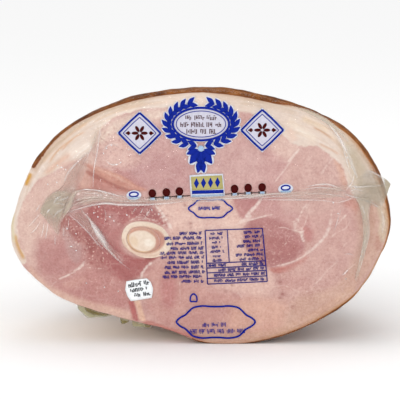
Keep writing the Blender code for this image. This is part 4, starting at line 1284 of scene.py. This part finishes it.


# Painted glints on the film: (u, v, turn in degrees, length)
GLINTS = [
    (104, 154, 60, 1.2), (62, 168, 20, 1.5), (58, 166, 50, 1.0), (66, 170, 0, 1.0), (117, 165, -20, 1.6),
    (121, 163, -50, 1.0), (94, 213, 40, 1.0), (98, 217, 60, 1.2), (110, 217, 20, 1.4),
    (114, 221, 70, 1.0), (92, 227, 80, 1.0), (71, 247, 10, 1.6), (76, 251, 40, 1.0), (57, 183, 60, 1.0),
    (48, 185, 80, 0.9), (112, 146, -10, 1.2), (107, 149, -50, 1.2), (129, 150, 50, 1.0),
    (152, 210, 60, 1.2), (159, 214, 60, 1.0), (104, 288, 0, 1.0), (118, 292, 30, 0.9), (86, 284, 20, 1.0),
    (99, 207, 80, 1.0), (127, 215, 70, 1.2), (67, 229, 80, 1.4), (76, 234, 70, 1.0), (300, 200, 60, 0.9),
    (333, 203, 70, 1.2), (338, 214, 60, 1.0), (351, 168, 70, 1.2), (347, 158, 70, 1.0),
]


def loose_film():
    """Seal strip, corner ears and webs, creases, slack pleats and tail."""
    cloudy = clear_film("clouded film", "C8BCAA", 0.12)
    veiled = clear_film("veiled film", "C8A99D", 0.12)
    layered = clear_film("doubled film, warm grey", "C0B4A0", 0.12)
    shaded = clear_film("doubled film, shaded grey", "AFA38E", 0.12)
    greenish = clear_film("layered film, grey green", "9B9675", 0.15, 0.25)
    # Crease ribs are whitened partly as stretched film and partly as painted highlight.
    crease_white_and_highlight = clear_film("stretched film crease with painted highlight", "EEE8E4", 0.10)
    pieces = []
    pieces.append(film_patch(
        "seal_strip",
        [(73, 191), (88, 190), (106, 192), (119, 195.5), (150, 197.4), (185, 196.2), (225, 194.2),
         (262, 192.4), (300, 190.5), (330, 187), (352, 184)],
        [(66, 213), (80, 208), (92, 205.5), (106, 203.6), (140, 204.6), (170, 203), (200, 200),
         (240, 198.5), (270, 197.5), (310, 199.5), (352, 197)],
        200, 12, lambda s, t: (0.0007 + 0.0002 * ripples(t + 0.4 * s, 1.0)) * math.sin(math.pi * t) ** 0.6,
        cloudy, lambda s, t: ((0.16 * max(0, 1 - s * 5) + 0.11 + 0.12 * max(0, s - 0.85) / 0.15)
                              * (0.8 + 0.55 * ripples(0.9 * t + 0.25 * s, 2.0)))))
    pieces.append(film_patch(
        "left_ear",
        [(70, 184), (64, 188), (57, 191), (50, 195.5), (45, 201), (41, 208), (40, 213), (45, 219),
         (50, 225.5), (54, 231), (57.5, 236.5)],
        [(75, 188), (74, 191), (72, 195), (70.5, 199), (69, 203), (67.5, 207), (66, 211), (64, 215.5),
         (62, 221), (60.5, 228), (58.5, 236.5)],
        80, 30, lambda s, t: (0.0012 + 0.0004 * ripples(1.3 * s + 0.15 * t, 3.0)) * lump(s, t), layered,
        lambda s, t: (min(1.0, 0.15 + 1.8 * s)
                      * (0.40 + 0.24 * lump(min(1, 1.5 * s), t, 0.7) + 0.10 * ripples(1.1 * s + 0.9 * t, 5.0)
                         - 0.24 * step(0.50, 0.9, s))), crisp=(14, 14, 24, 7)))
    pieces.append(film_patch(
        "left_web",
        [(86, 153), (81, 159), (75, 166), (70, 173), (66, 181), (60, 189), (52, 194)],
        [(90, 153), (89, 161), (87, 169), (84, 177), (81, 184), (77, 190), (71, 197)],
        40, 26,
        lambda s, t: 0.0009 * lump(s, t, 0.7) + 0.0002 * ripples(t + 0.2 * s, 4.0) * lump(s, t, 0.5),
        veiled, lambda s, t: (0.50 * (1 - t) ** 0.7 + 0.05 * ripples(1.2 * t, 2.6)) * min(1, s * 3 + 0.2),
        crisp=(14, 14, 26, 7)))
    pieces.append(film_patch(
        "upper_web",
        [(101, 124), (97, 132), (93, 142), (90, 150)],
        [(103, 126), (101, 136), (99, 146), (97, 158)],
        16, 8, lambda s, t: 0.0006 * lump(s, t, 0.7), cloudy,
        lambda s, t: 0.12 * math.sin(math.pi * t) * min(1, s * 2)))
    pieces.append(film_patch(
        "lower_web",
        [(66, 213), (76, 220), (88, 231), (98, 242), (110, 254), (121, 264)],
        [(81, 209), (88, 215), (97, 226), (105, 238), (115, 250), (125, 261)],
        40, 10, lambda s, t: 0.0010 * lump(s, t, 0.7), veiled,
        lambda s, t: (0.20 + 0.16 * ripples(1.3 * t, 1.2)) * (1 - 0.55 * s)))
    pieces.append(film_patch(
        "right_ear",
        [(350, 186), (358, 180), (364, 173), (370, 171.5), (376, 174), (382, 177.4), (387, 181),
         (390.8, 185.2)],
        [(352, 200), (360, 203), (368, 205.5), (376, 208), (382, 207), (386, 199), (388.5, 190.5),
         (390.2, 186.6)],
        56, 30, lambda s, t: (0.0010 + 0.0004 * ripples(1.2 * t + 0.3 * s, 2.0)) * lump(s, t), shaded,
        lambda s, t: ((0.04 + 0.12 * step(0.1, 0.5, s) + 0.18 * step(0.15, 0.5, t) * step(0.05, 0.4, s))
                      * (1 - step(0.75, 1, t) * (1 - s)) + 0.80 * step(0.76, 0.88, s)),
        crisp=(7, 40, 24, 20), hinge=382.0))
    pieces.append(film_patch(
        "right_web",
        [(341, 141), (346, 152), (350, 163), (354, 173), (357, 182)],
        [(352, 143), (361, 152), (369, 162), (375, 170), (379, 178)],
        24, 20, lambda s, t: 0.0006 * lump(s, t), cloudy,
        lambda s, t: 0.12 * step(0.0, 0.3, s) * (1 - 0.6 * s * t)))
    pieces.append(film_patch(
        "right_lower_web",
        [(350, 192), (357, 202), (361, 214), (363, 228), (363, 240), (361, 254), (358, 268), (355, 281)],
        [(373, 197), (371, 206), (369.5, 216), (370, 228), (370, 237), (366.5, 251), (362.5, 265),
         (357.5, 283)],
        50, 20, lambda s, t: 0.0008 * lump(s, t), cloudy, lambda s, t: 0.50 * (1 - 0.6 * s)))

    def line(points, half, bright):
        return [(u, v, half, bright) for u, v in points]

    pieces.append(film_fold("fold_above_ear", [
        [(84, 190.4, 0.9, 0.25), (77, 192, 1.6, 0.45), (73, 196, 2.4, 0.55), (70.5, 202, 2.8, 0.55),
         (68, 208, 2.8, 0.7), (65, 214, 2.0, 0.6), (62, 222, 1.0, 0.3)]], cloudy, 0.0012, 1.3))
    pieces.append(film_fold("film_creases", [
        [(80, 209, 0.9, 0.25), (87, 216, 1.4, 0.35), (95, 227, 2.6, 0.4), (103, 240, 3.0, 0.4),
         (110, 251, 1.6, 0.35), (118, 260, 0.9, 0.2), (130, 270, 0.8, 0.15)],
        line([(66, 213), (73, 218), (80, 224), (88, 232), (97, 243), (106, 253)], 0.9, 0.24),
        line([(78, 191), (86, 190), (97, 190.6), (106, 192.5), (119, 196), (128, 197)], 0.9, 0.45),
        line([(82, 190.2), (87, 189.9), (92, 190.4)], 0.8, 0.7),
        line([(96, 190.6), (103, 192), (109, 193.6)], 0.8, 0.5),
        line([(66, 213), (76, 210), (90, 206), (106, 203.6), (120, 204.8), (145, 204.7), (170, 203),
              (186, 201)], 1.2, 0.50), line([(100, 203.8), (106, 203.4), (114, 204)], 0.9, 0.7),
        line([(68, 208), (80, 203), (92, 200), (106, 199.5)], 0.7, 0.30),
        line([(70, 203), (84, 199), (98, 197.5), (118, 199)], 0.7, 0.25),
        line([(76, 197), (88, 194), (102, 195), (116, 198)], 0.6, 0.22),
        line([(108, 200), (130, 201.5), (150, 201)], 0.6, 0.30),
        line([(184, 199), (200, 199.5), (225, 198.5), (243, 197.6), (262, 195.4), (276, 193.8),
              (300, 193)], 1.0, 0.60), line([(226, 196.6), (245, 195.4), (270, 194.4)], 0.8, 0.5),
        line([(190, 202), (206, 201.4), (226, 200.4)], 0.6, 0.35),
        line([(140, 199.4), (160, 199.8), (182, 198.8)], 0.6, 0.35),
        line([(240, 199.6), (262, 197.6), (284, 196.2), (310, 196)], 0.6, 0.25),
        line([(300, 190), (318, 188), (334, 189.5), (346, 192)], 0.7, 0.35),
        line([(258, 199.5), (290, 200), (318, 200.5), (340, 203)], 0.9, 0.25),
        line([(338, 203), (346, 201), (353, 198)], 0.8, 0.3),
        line([(300, 194.5), (320, 194), (338, 196), (350, 200)], 0.7, 0.22),
        line([(306, 187), (318, 185), (328, 185), (336, 187.5), (342, 190.5)], 1.0, 0.45),
        line([(351, 186), (358, 188), (366, 187)], 1.1, 0.6),
        line([(343, 194), (352, 197), (362, 199)], 0.9, 0.30),
        line([(346, 190), (350, 186), (353, 180), (354, 172)], 0.8, 0.4),
        line([(350, 192), (356, 190), (364, 192)], 0.8, 0.4),
        line([(90, 151), (82, 159), (74, 167), (68, 174), (64, 184)], 1.1, 0.32),
        line([(101, 126), (99.5, 140), (97.5, 154), (95, 166), (93.7, 178), (93.5, 189)], 0.75, 0.38),
        line([(98, 130), (94, 142), (90, 152), (84, 164), (80, 176)], 0.7, 0.20),
        line([(311, 114), (317, 117), (326, 123), (334, 132), (341, 142), (346, 153)], 1.0, 0.45),
        line([(314, 115.5), (320, 119), (328, 125.5)], 0.9, 0.6),
        line([(337, 136), (342, 145), (347, 155)], 1.1, 0.6),
        line([(345, 151), (350, 163), (354, 172), (357, 180)], 0.9, 0.35),
        line([(343, 152), (346, 160), (348, 168)], 0.9, 0.35),
        line([(343, 144), (349, 156), (354, 169), (359, 182)], 0.7, 0.30),
        line([(334, 134), (342, 148), (347, 162), (349, 174)], 0.6, 0.22),
        line([(361, 203), (364, 212), (365, 222)], 1.6, 0.2),
        [(367, 228, 1.0, 0.3), (366.5, 235, 1.8, 0.5), (365, 243, 1.8, 0.5), (362.5, 253, 1.2, 0.4),
         (360, 263, 0.9, 0.3), (358, 272, 0.8, 0.2)],
        line([(359, 197), (366, 201), (374, 204.5), (381, 210)], 0.8, 0.35),
        line([(381, 210), (383.5, 220), (383, 234)], 1.6, 0.16),
        line([(343, 276), (346, 273.5), (349, 270)], 0.9, 0.35),
        line([(345.5, 280.5), (347.5, 279)], 0.9, 0.4),
        line([(345, 255), (350, 254.6), (354, 256)], 0.7, 0.18),
        line([(341, 210), (336, 226), (334, 232)], 0.6, 0.20),
        line([(44, 223), (43, 230), (41, 238)], 0.6, 0.40),
        line([(48, 223), (47, 231), (45, 240)], 0.6, 0.40),
        line([(40, 222), (36, 229), (30, 235)], 0.6, 0.30),
        line([(41, 213), (35, 220), (28, 228)], 0.6, 0.25), line([(55, 236), (55, 246)], 0.6, 0.25),
        line([(64, 226), (63, 238)], 0.6, 0.20), line([(69, 218), (68, 230)], 0.6, 0.20),
        line([(40, 205), (36, 212)], 0.7, 0.30), line([(104, 205), (106, 216), (104, 226)], 0.5, 0.15),
        line([(103, 153), (107, 147), (113, 145), (119, 148)], 0.6, 0.25),
        line([(106, 161), (112, 165), (119, 164)], 0.6, 0.35),
        line([(152, 206), (148, 213), (144, 219)], 0.5, 0.3), line([(144, 207), (140, 214)], 0.5, 0.25),
        line([(136, 207), (133, 213)], 0.5, 0.25),
    ], crease_white_and_highlight, spread=1.15))
    # Cloudy band just inside the brown rind at top right: film haze, and painted reflection of the film
    # there.
    pieces.append(film_fold("rim_haze_and_reflection", [
        line([(292, 108), (308, 113), (324, 121), (338, 132), (348, 142)], 2.2, 0.7)], cloudy))
    # Painted highlights: the long streak on the main fold, then small glints where the film puckers: (u, v,
    # turn in degrees, length)
    glints = [[(90, 221, 0.9, 0.6), (94, 228, 2.0, 1.3), (99, 236, 2.1, 1.4), (104, 243.5, 1.6, 1.1),
               (109, 251, 0.7, 0.4)]]
    for u, v, turn, length in GLINTS:
        a = math.radians(turn)
        glints.append([(u - length * math.cos(a), v - length * math.sin(a), 0.5, 0.7), (u, v, 0.8, 1.1),
                       (u + length * math.cos(a), v + length * math.sin(a), 0.5, 0.7)])
    pieces.append(film_fold("film_glints", glints, clear_film("glinting film", "FFFFFF", 0.08, 0.0)))
    pieces.append(film_fold("ear_creases", [
        # The first two lines are painted glints on the left ear.
        line([(47, 213.5), (48.5, 211), (50.5, 209.5)], 0.9, 1.0), line([(50.5, 215), (52.5, 212)], 0.7, 0.9),
        line([(66, 205), (58, 204), (51, 205.5)], 1.2, 0.16),
        line([(64, 209), (57, 213), (53, 219)], 1.4, 0.18),
        line([(62, 196), (56, 200), (53, 206)], 1.6, 0.18),
        line([(70, 197), (62, 200), (55, 201)], 1.3, 0.2),
        line([(366, 170.5), (372, 173), (379, 176.5), (384, 180)], 0.9, 0.30),
        line([(352, 187.5), (368, 187), (384, 186)], 1.0, 0.15),
    ], crease_white_and_highlight, 0.0013))
    pleated = clear_film("pleated film, grey green", "B9B48E", 0.15, 0.15)
    # The darker olive sheets on the pleats are a second layer of film, and painted shade on the pleats.
    doubled_and_shaded = clear_film("doubled film with painted shade, olive", "8A7E4C", 0.15, 0.15)
    for name, top, low, forward, material in (
        ("pleat_0", [(75, 300), (80, 300), (92, 303), (104, 306), (112, 309)],
         [(75.4, 308.5), (81, 313.8), (87, 318.2), (100, 317.8), (112, 315.4)], 0.0, pleated),
        ("pleat_1", [(117.5, 308), (123, 310), (128.5, 313)],
         [(119.4, 324.6), (123.4, 324), (128.5, 321)], 0.0, pleated),
        ("pleat_2", [(130, 312), (140, 314), (151, 318)], [(131.2, 327.4), (141, 328.4), (150, 327.6)],
         0.0, pleated),
        ("pleat_fold_0", [(82, 303), (94, 306), (108, 310)], [(84, 310.5), (94, 315.6), (108, 315.4)],
         0.001, doubled_and_shaded),
        ("pleat_fold_1", [(119.4, 319), (123, 320.4), (128, 320)],
         [(120, 324.4), (123.4, 323.7), (128, 321.2)], 0.001, doubled_and_shaded),
        ("pleat_fold_2", [(143, 318), (147, 319), (151, 320)],
         [(144.6, 327.6), (147, 327.8), (150, 327.2)], 0.001, doubled_and_shaded),
    ):
        patch = film_patch(name, top, low, 16, 6, lambda s, t: 0.0, material, lambda s, t: 0.92 - 0.2 * t,
                           0.0)
        place = np.array([v.co for v in patch.data.vertices])
        ripple = 0.0009 * np.sin(place[:, 0] * 420)
        wall = (place[:, 1] - place[:, 1].mean()) * 0.02
        place[:, 1] = FACE_Y + PLEAT_DEPTH - forward + ripple + wall
        place[:, 2] -= PLEAT_DROP
        set_points(patch, place)
        pieces.append(patch)
    pieces.append(bag_tail(greenish))
    return pieces


def bag_tail(material):
    """The bag's flat tail above the shank bone, rippled where the film was gathered."""
    middle = section_middle(BODY_LENGTH)
    points, haze = [], []
    across, back = 48, 16
    for i in range(across + 1):
        s = i / across - 0.5
        for j in range(back + 1):
            t = j / back
            half = TAIL_HALF_WIDTHS[0] + (TAIL_HALF_WIDTHS[1] - TAIL_HALF_WIDTHS[0]) * step(0.0, 0.9, t)
            y = FACE_Y + TAIL_START + TAIL_LENGTH * t + 0.0012 * math.sin(17 * s)
            wave = 0.0035 * min(1, t * 1.6) * math.sin(2 * math.pi * 2.5 * (s + 0.5))
            z = middle[1] + TAIL_RISE + wave + 0.0008 * math.sin(31 * s + 9 * t) * t
            points.append((middle[0] + 2 * half * s, y, z))
            haze.append(0.55 + 0.25 * (t > 0.86) + 0.1 * math.sin(23 * s))
    thing = mesh_piece("bag_tail", points, [(a, d, c, b) for a, b, c, d in grid_faces(across, back)])
    store(thing, "haze", np.array(haze))
    store(thing, "sheen", np.ones(len(points)))
    thicken(thing, TAIL_WALL)
    thing.data.materials.append(material)
    return thing


def tight_film():
    """The bag where it lies on the meat: one clear closed skin."""
    thing, place, row, angle, (face_rows, rim_rows, _) = ham_skin("clear_bag", 320, 130, FILM_LIFT, True)
    place = uneven(thing, place, angle, step(0.0, 1.0, np.clip((row - face_rows) / rim_rows, 0, 1)), 0.0)
    depth = place[:, 1] - FACE_Y
    store(thing, "haze", 0.02 * step(0.03, 0.09, depth))
    store(thing, "sheen", 1 - 0.88 * step(-0.001, 0.006, depth) + 0.88 * step(0.070, 0.120, depth))
    thing.data.materials.append(clear_film("clear shrink film", "D8D2C4", 0.09))
    return thing


# Bone and marrow

BONE_CENTRE = (-0.0362, 0.0724)
BONE_HALF_SIZE = (0.0172, 0.0122)
BONE_TILT = math.radians(-14)
MARROW_HALF_SIZE = (0.0116, 0.0088)
MARROW_SHIFT = (-0.0022, -0.0007)
SHANK_BONE_HALF_SIZE = (0.0125, 0.0112)
SHANK_MARROW_HALF_SIZE = (0.0080, 0.0070)


def bone_ring(depth, share, angles, shrink=0.0):
    """A ring of the bone at a depth. Share runs from the marrow's wall (0) to the outside (1)."""
    along = float(step(0.0, BODY_LENGTH, max(depth, 0.0)))
    end = section_middle(BODY_LENGTH)
    middle = np.array(BONE_CENTRE) * (1 - along) + np.array(end) * along
    outer = np.array(BONE_HALF_SIZE) * (1 - along) + np.array(SHANK_BONE_HALF_SIZE) * along
    inner = np.array(MARROW_HALF_SIZE) * (1 - along) + np.array(SHANK_MARROW_HALF_SIZE) * along
    half = inner * (1 - share) + outer * share - shrink
    shift = np.array(MARROW_SHIFT) * (1 - along) * (1 - share)
    turn = BONE_TILT * (1 - along)
    wobble = 1 + 0.012 * np.sin(3 * angles + 1) + 0.010 * np.sin(5 * angles + 2)
    a, b = half[0] * np.cos(angles) * wobble + shift[0], half[1] * np.sin(angles) * wobble + shift[1]
    x, z = a * math.cos(turn) - b * math.sin(turn), a * math.sin(turn) + b * math.cos(turn)
    return middle[0] + x, middle[1] + z


def loft(name, rings, shut_ends):
    """Joins rings of points in turn. Ends are shut with a point each, or the last ring meets the first."""
    count = len(rings[0])
    points = [tuple(p) for ring in rings for p in ring]
    faces = []
    total = len(rings) if not shut_ends else len(rings) - 1
    for r in range(total):
        s = (r + 1) % len(rings)
        for i in range(count):
            j = (i + 1) % count
            faces.append((r * count + i, r * count + j, s * count + j, s * count + i))
    if shut_ends:
        for ring_start, ring in ((0, rings[0]), ((len(rings) - 1) * count, rings[-1])):
            points.append(tuple(np.mean(ring, axis=0)))
            for i in range(count):
                faces.append((len(points) - 1, ring_start + i, ring_start + (i + 1) % count))
    thing = mesh_piece(name, points, faces)
    shape = bmesh.new()
    shape.from_mesh(thing.data)
    bmesh.ops.recalc_face_normals(shape, faces=shape.faces)
    shape.to_mesh(thing.data)
    shape.free()
    return thing


def leg_bone_and_marrow():
    angles = np.linspace(0, 2 * math.pi, 96, endpoint=False)
    front = float(face_level(np.array([BONE_CENTRE[0]]), np.array([BONE_CENTRE[1]]))[0]) - 0.0004
    back = FACE_Y + BODY_LENGTH

    def ring(y, share, shrink=0.0, lift=0.0):
        x, z = bone_ring(y - FACE_Y, share, angles, shrink)
        return np.stack([x, np.full_like(x, y) - lift, z], axis=1)

    def paint(thing, base, patches, lines):
        place = np.array([p.co for p in thing.data.vertices])
        u, v = to_sheet(place[:, 0], place[:, 2])
        shown = flat(base, len(u))
        front_only = place[:, 1] < front + 0.003
        for outline, code, soft, strength in patches:
            weight = strength * step(-soft, soft, depth_inside(u, v, outline)) * front_only
            shown = lay(shown, code, weight)
        for drawn, half, code, strength in lines:
            away, _ = line_distance(u, v, open_curve(drawn, 1))
            weight = strength * np.exp(-((away / half) ** 2)) * front_only
            shown = lay(shown, code, weight)
        store_colour(thing, "cut", shown)

    core = [(129, 238), (131, 233.5), (137, 231), (145, 231), (151, 234), (155.5, 239), (155, 246),
            (150, 250.5), (143, 251.5), (136, 249.5), (131, 245)]
    patches = [
        ([(127.5, 236), (131, 230.5), (137, 227), (146, 226.5), (154, 228.5), (161, 232), (165, 238),
          (164, 245), (158, 251), (150, 254), (141, 253.5), (133, 251), (128.5, 245)], "C99E89", 1.3, 1),
        ([(154, 230), (160, 232), (164.5, 238), (162.5, 245.5), (157, 250), (155, 245), (156, 238)],
         "C48E7E", 1.4, 0.9),
        ([(130, 229), (136, 227), (142, 227), (136, 229.5), (131, 233)], "D39E88", 1.0, 0.7),
        (core, "E3D0BE", 0.8, 1),
        ([(130, 239), (134, 236), (138, 240), (137, 247), (132, 244)], "DDC3A6", 1.6, 0.7),
        # painted highlight on the marrow
        ([(145, 240), (151, 239.5), (153.5, 243.5), (150, 247), (145, 245)], "EEE2D4", 1.4, 0.9),
    ]
    lines = [
        ([(128, 235), (128.5, 242), (132, 248), (139, 251.8), (149, 252.4)], 0.8, "D9B98A", 0.6),
        ([(131, 232.5), (137, 230), (146, 230), (153, 233.5), (156.5, 239)], 0.6, "C58F7C", 0.6),
        ([(124, 232), (129, 226), (138, 222.5), (150, 222), (162, 226), (169, 234)], 1.4, "E0CFC0", 0.6),
        ([(123.5, 240), (126, 247), (131, 252.5), (142, 255), (154, 255.5), (163, 252)], 1.4, "CFA996", 0.55),
        ([(166, 233), (170, 241), (168, 249)], 2.0, "DCCBBB", 0.7),
    ]
    rings = []
    for k in range(17):
        share = k / 16
        rings.append(ring(front, share, 0.0, 0.00025 * math.sin(math.pi * share)))
    rings.append(ring(front + 0.0008, 1.0))
    for k in range(1, 12):
        rings.append(ring(front + 0.0008 + (back - front - 0.001) * k / 12, 1.0))
    for k in range(5):
        rings.append(ring(back + 0.0002, 1 - k / 4))
    for k in range(1, 12):
        rings.append(ring(back + (front - back) * k / 12, 0.0))
    bone = loft("sawn_leg_bone", rings, False)
    paint(bone, "E4D0BD", patches, lines)
    bone.data.materials.append(painted_bone("sawn bone", 1.6, 0.5, 0.0))

    rings = []
    for k in range(18):
        share = math.sin(0.5 * math.pi * (k + 0.3) / 17.3)
        x, z = bone_ring(0.0, 0.0, angles, 0.00035)
        cx, cz = x.mean(), z.mean()
        lift = 0.0008 * (1 - share**2) * (1 + 0.3 * np.sin(2 * angles + 1) * share)
        rings.append(np.stack([cx + (x - cx) * share, front + 0.0002 - lift, cz + (z - cz) * share], axis=1))
    for k in range(1, 13):
        rings.append(ring(front + 0.0004 + (back - front - 0.0004) * k / 12, 0.0, 0.00035))
    marrow = loft("marrow_core", rings, True)
    paint(marrow, "D9C4B1", patches, lines)
    marrow.data.materials.append(painted_bone("marrow fat", 2.4, 0.4, 0.0))
    return bone, marrow


# Put together

for thing in list(bpy.context.selected_objects):
    thing.select_set(False)

ham = cured_ham()
ham.data.materials.clear()
ham.data.materials.append(cured_meat())
film = tight_film()
bone, marrow = leg_bone_and_marrow()
prints = printed_design()
paper, stamped = date_sticker()
loose = loose_film()

for piece in [ham, film, bone, marrow, paper, stamped] + prints + loose:
    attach(piece, "root")
# Clear film lets the light through to the meat.
for piece in [film] + loose:
    piece.visible_shadow = False
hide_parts("ham_in_film")
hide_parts("leg_bone")
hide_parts("marrow")
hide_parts("date_label")


# Floor, light and camera

IMAGE_PIXELS = 400
FOCAL_PIXELS = 2372.2
SENSOR_WIDTH = 36.0
EYE_DISTANCE = 1.6
EYE_RISE = math.radians(8.0)


def studio():
    bpy.ops.object.select_all(action="DESELECT")
    bpy.ops.mesh.primitive_plane_add(size=14.0, location=(0.0, 2.0, -0.0002))
    floor = bpy.context.object
    floor.name = "floor"
    material, _, shader, _ = new_finish("studio floor")
    shader.inputs["Base Color"].default_value = tint("FFFFFF")
    shader.inputs["Roughness"].default_value = 0.9
    shader.inputs["Specular IOR Level"].default_value = 0.0
    floor.data.materials.append(material)
    world = bpy.data.worlds.new("studio")
    bpy.context.scene.world = world
    world.use_nodes = True
    back = world.node_tree.nodes["Background"]
    back.inputs["Color"].default_value = (1.0, 1.0, 1.0, 1.0)
    back.inputs["Strength"].default_value = 0.93
    for name, place, aim, size, power, colour in (
        ("key", (-0.8, -1.7, 1.2), (0, -0.1, 0.08), 0.7, 2.2, "FFFAF4"),
        ("glint", (-0.35, -1.9, 0.62), (0, -0.1, 0.08), 0.22, 2.2, "FFFFFF"),
        ("fill", (1.2, -1.6, 0.35), (0, -0.1, 0.08), 0.8, 2.2, "F6FAFF"),
        ("top", (0.1, 0.3, 1.8), (0, 0, 0.08), 1.0, 3.4, "FFFFFF"),
        ("low", (-0.2, -1.9, 0.15), (0, -0.1, 0.06), 0.8, 1.0, "FFFFFF"),
    ):
        lamp = bpy.data.lights.new(name, "AREA")
        lamp.shape = "DISK"
        lamp.size = size
        lamp.energy = power
        lamp.color = tint(colour)[:3]
        holder = bpy.data.objects.new(name, lamp)
        bpy.context.scene.collection.objects.link(holder)
        holder.location = place
        holder.rotation_euler = (Vector(aim) - Vector(place)).to_track_quat("-Z", "Y").to_euler()
    lens = bpy.data.cameras.new("camera")
    eye = bpy.data.objects.new("camera", lens)
    bpy.context.scene.collection.objects.link(eye)
    target = Vector((-0.0001, -0.14, 0.0990))
    eye.location = target + Vector((0, -math.cos(EYE_RISE), math.sin(EYE_RISE))) * EYE_DISTANCE
    eye.rotation_euler = (math.radians(90) - EYE_RISE, 0, 0)
    lens.sensor_width = SENSOR_WIDTH
    lens.lens = FOCAL_PIXELS / IMAGE_PIXELS * SENSOR_WIDTH
    lens.clip_end = 50
    bpy.context.scene.camera = eye
    bpy.context.scene.view_settings.view_transform = "Standard"
    bpy.context.scene.view_settings.look = "None"
    # Enough for the layers of folded film to stay clear where they overlap.
    bpy.context.scene.cycles.transparent_max_bounces = 48


studio()
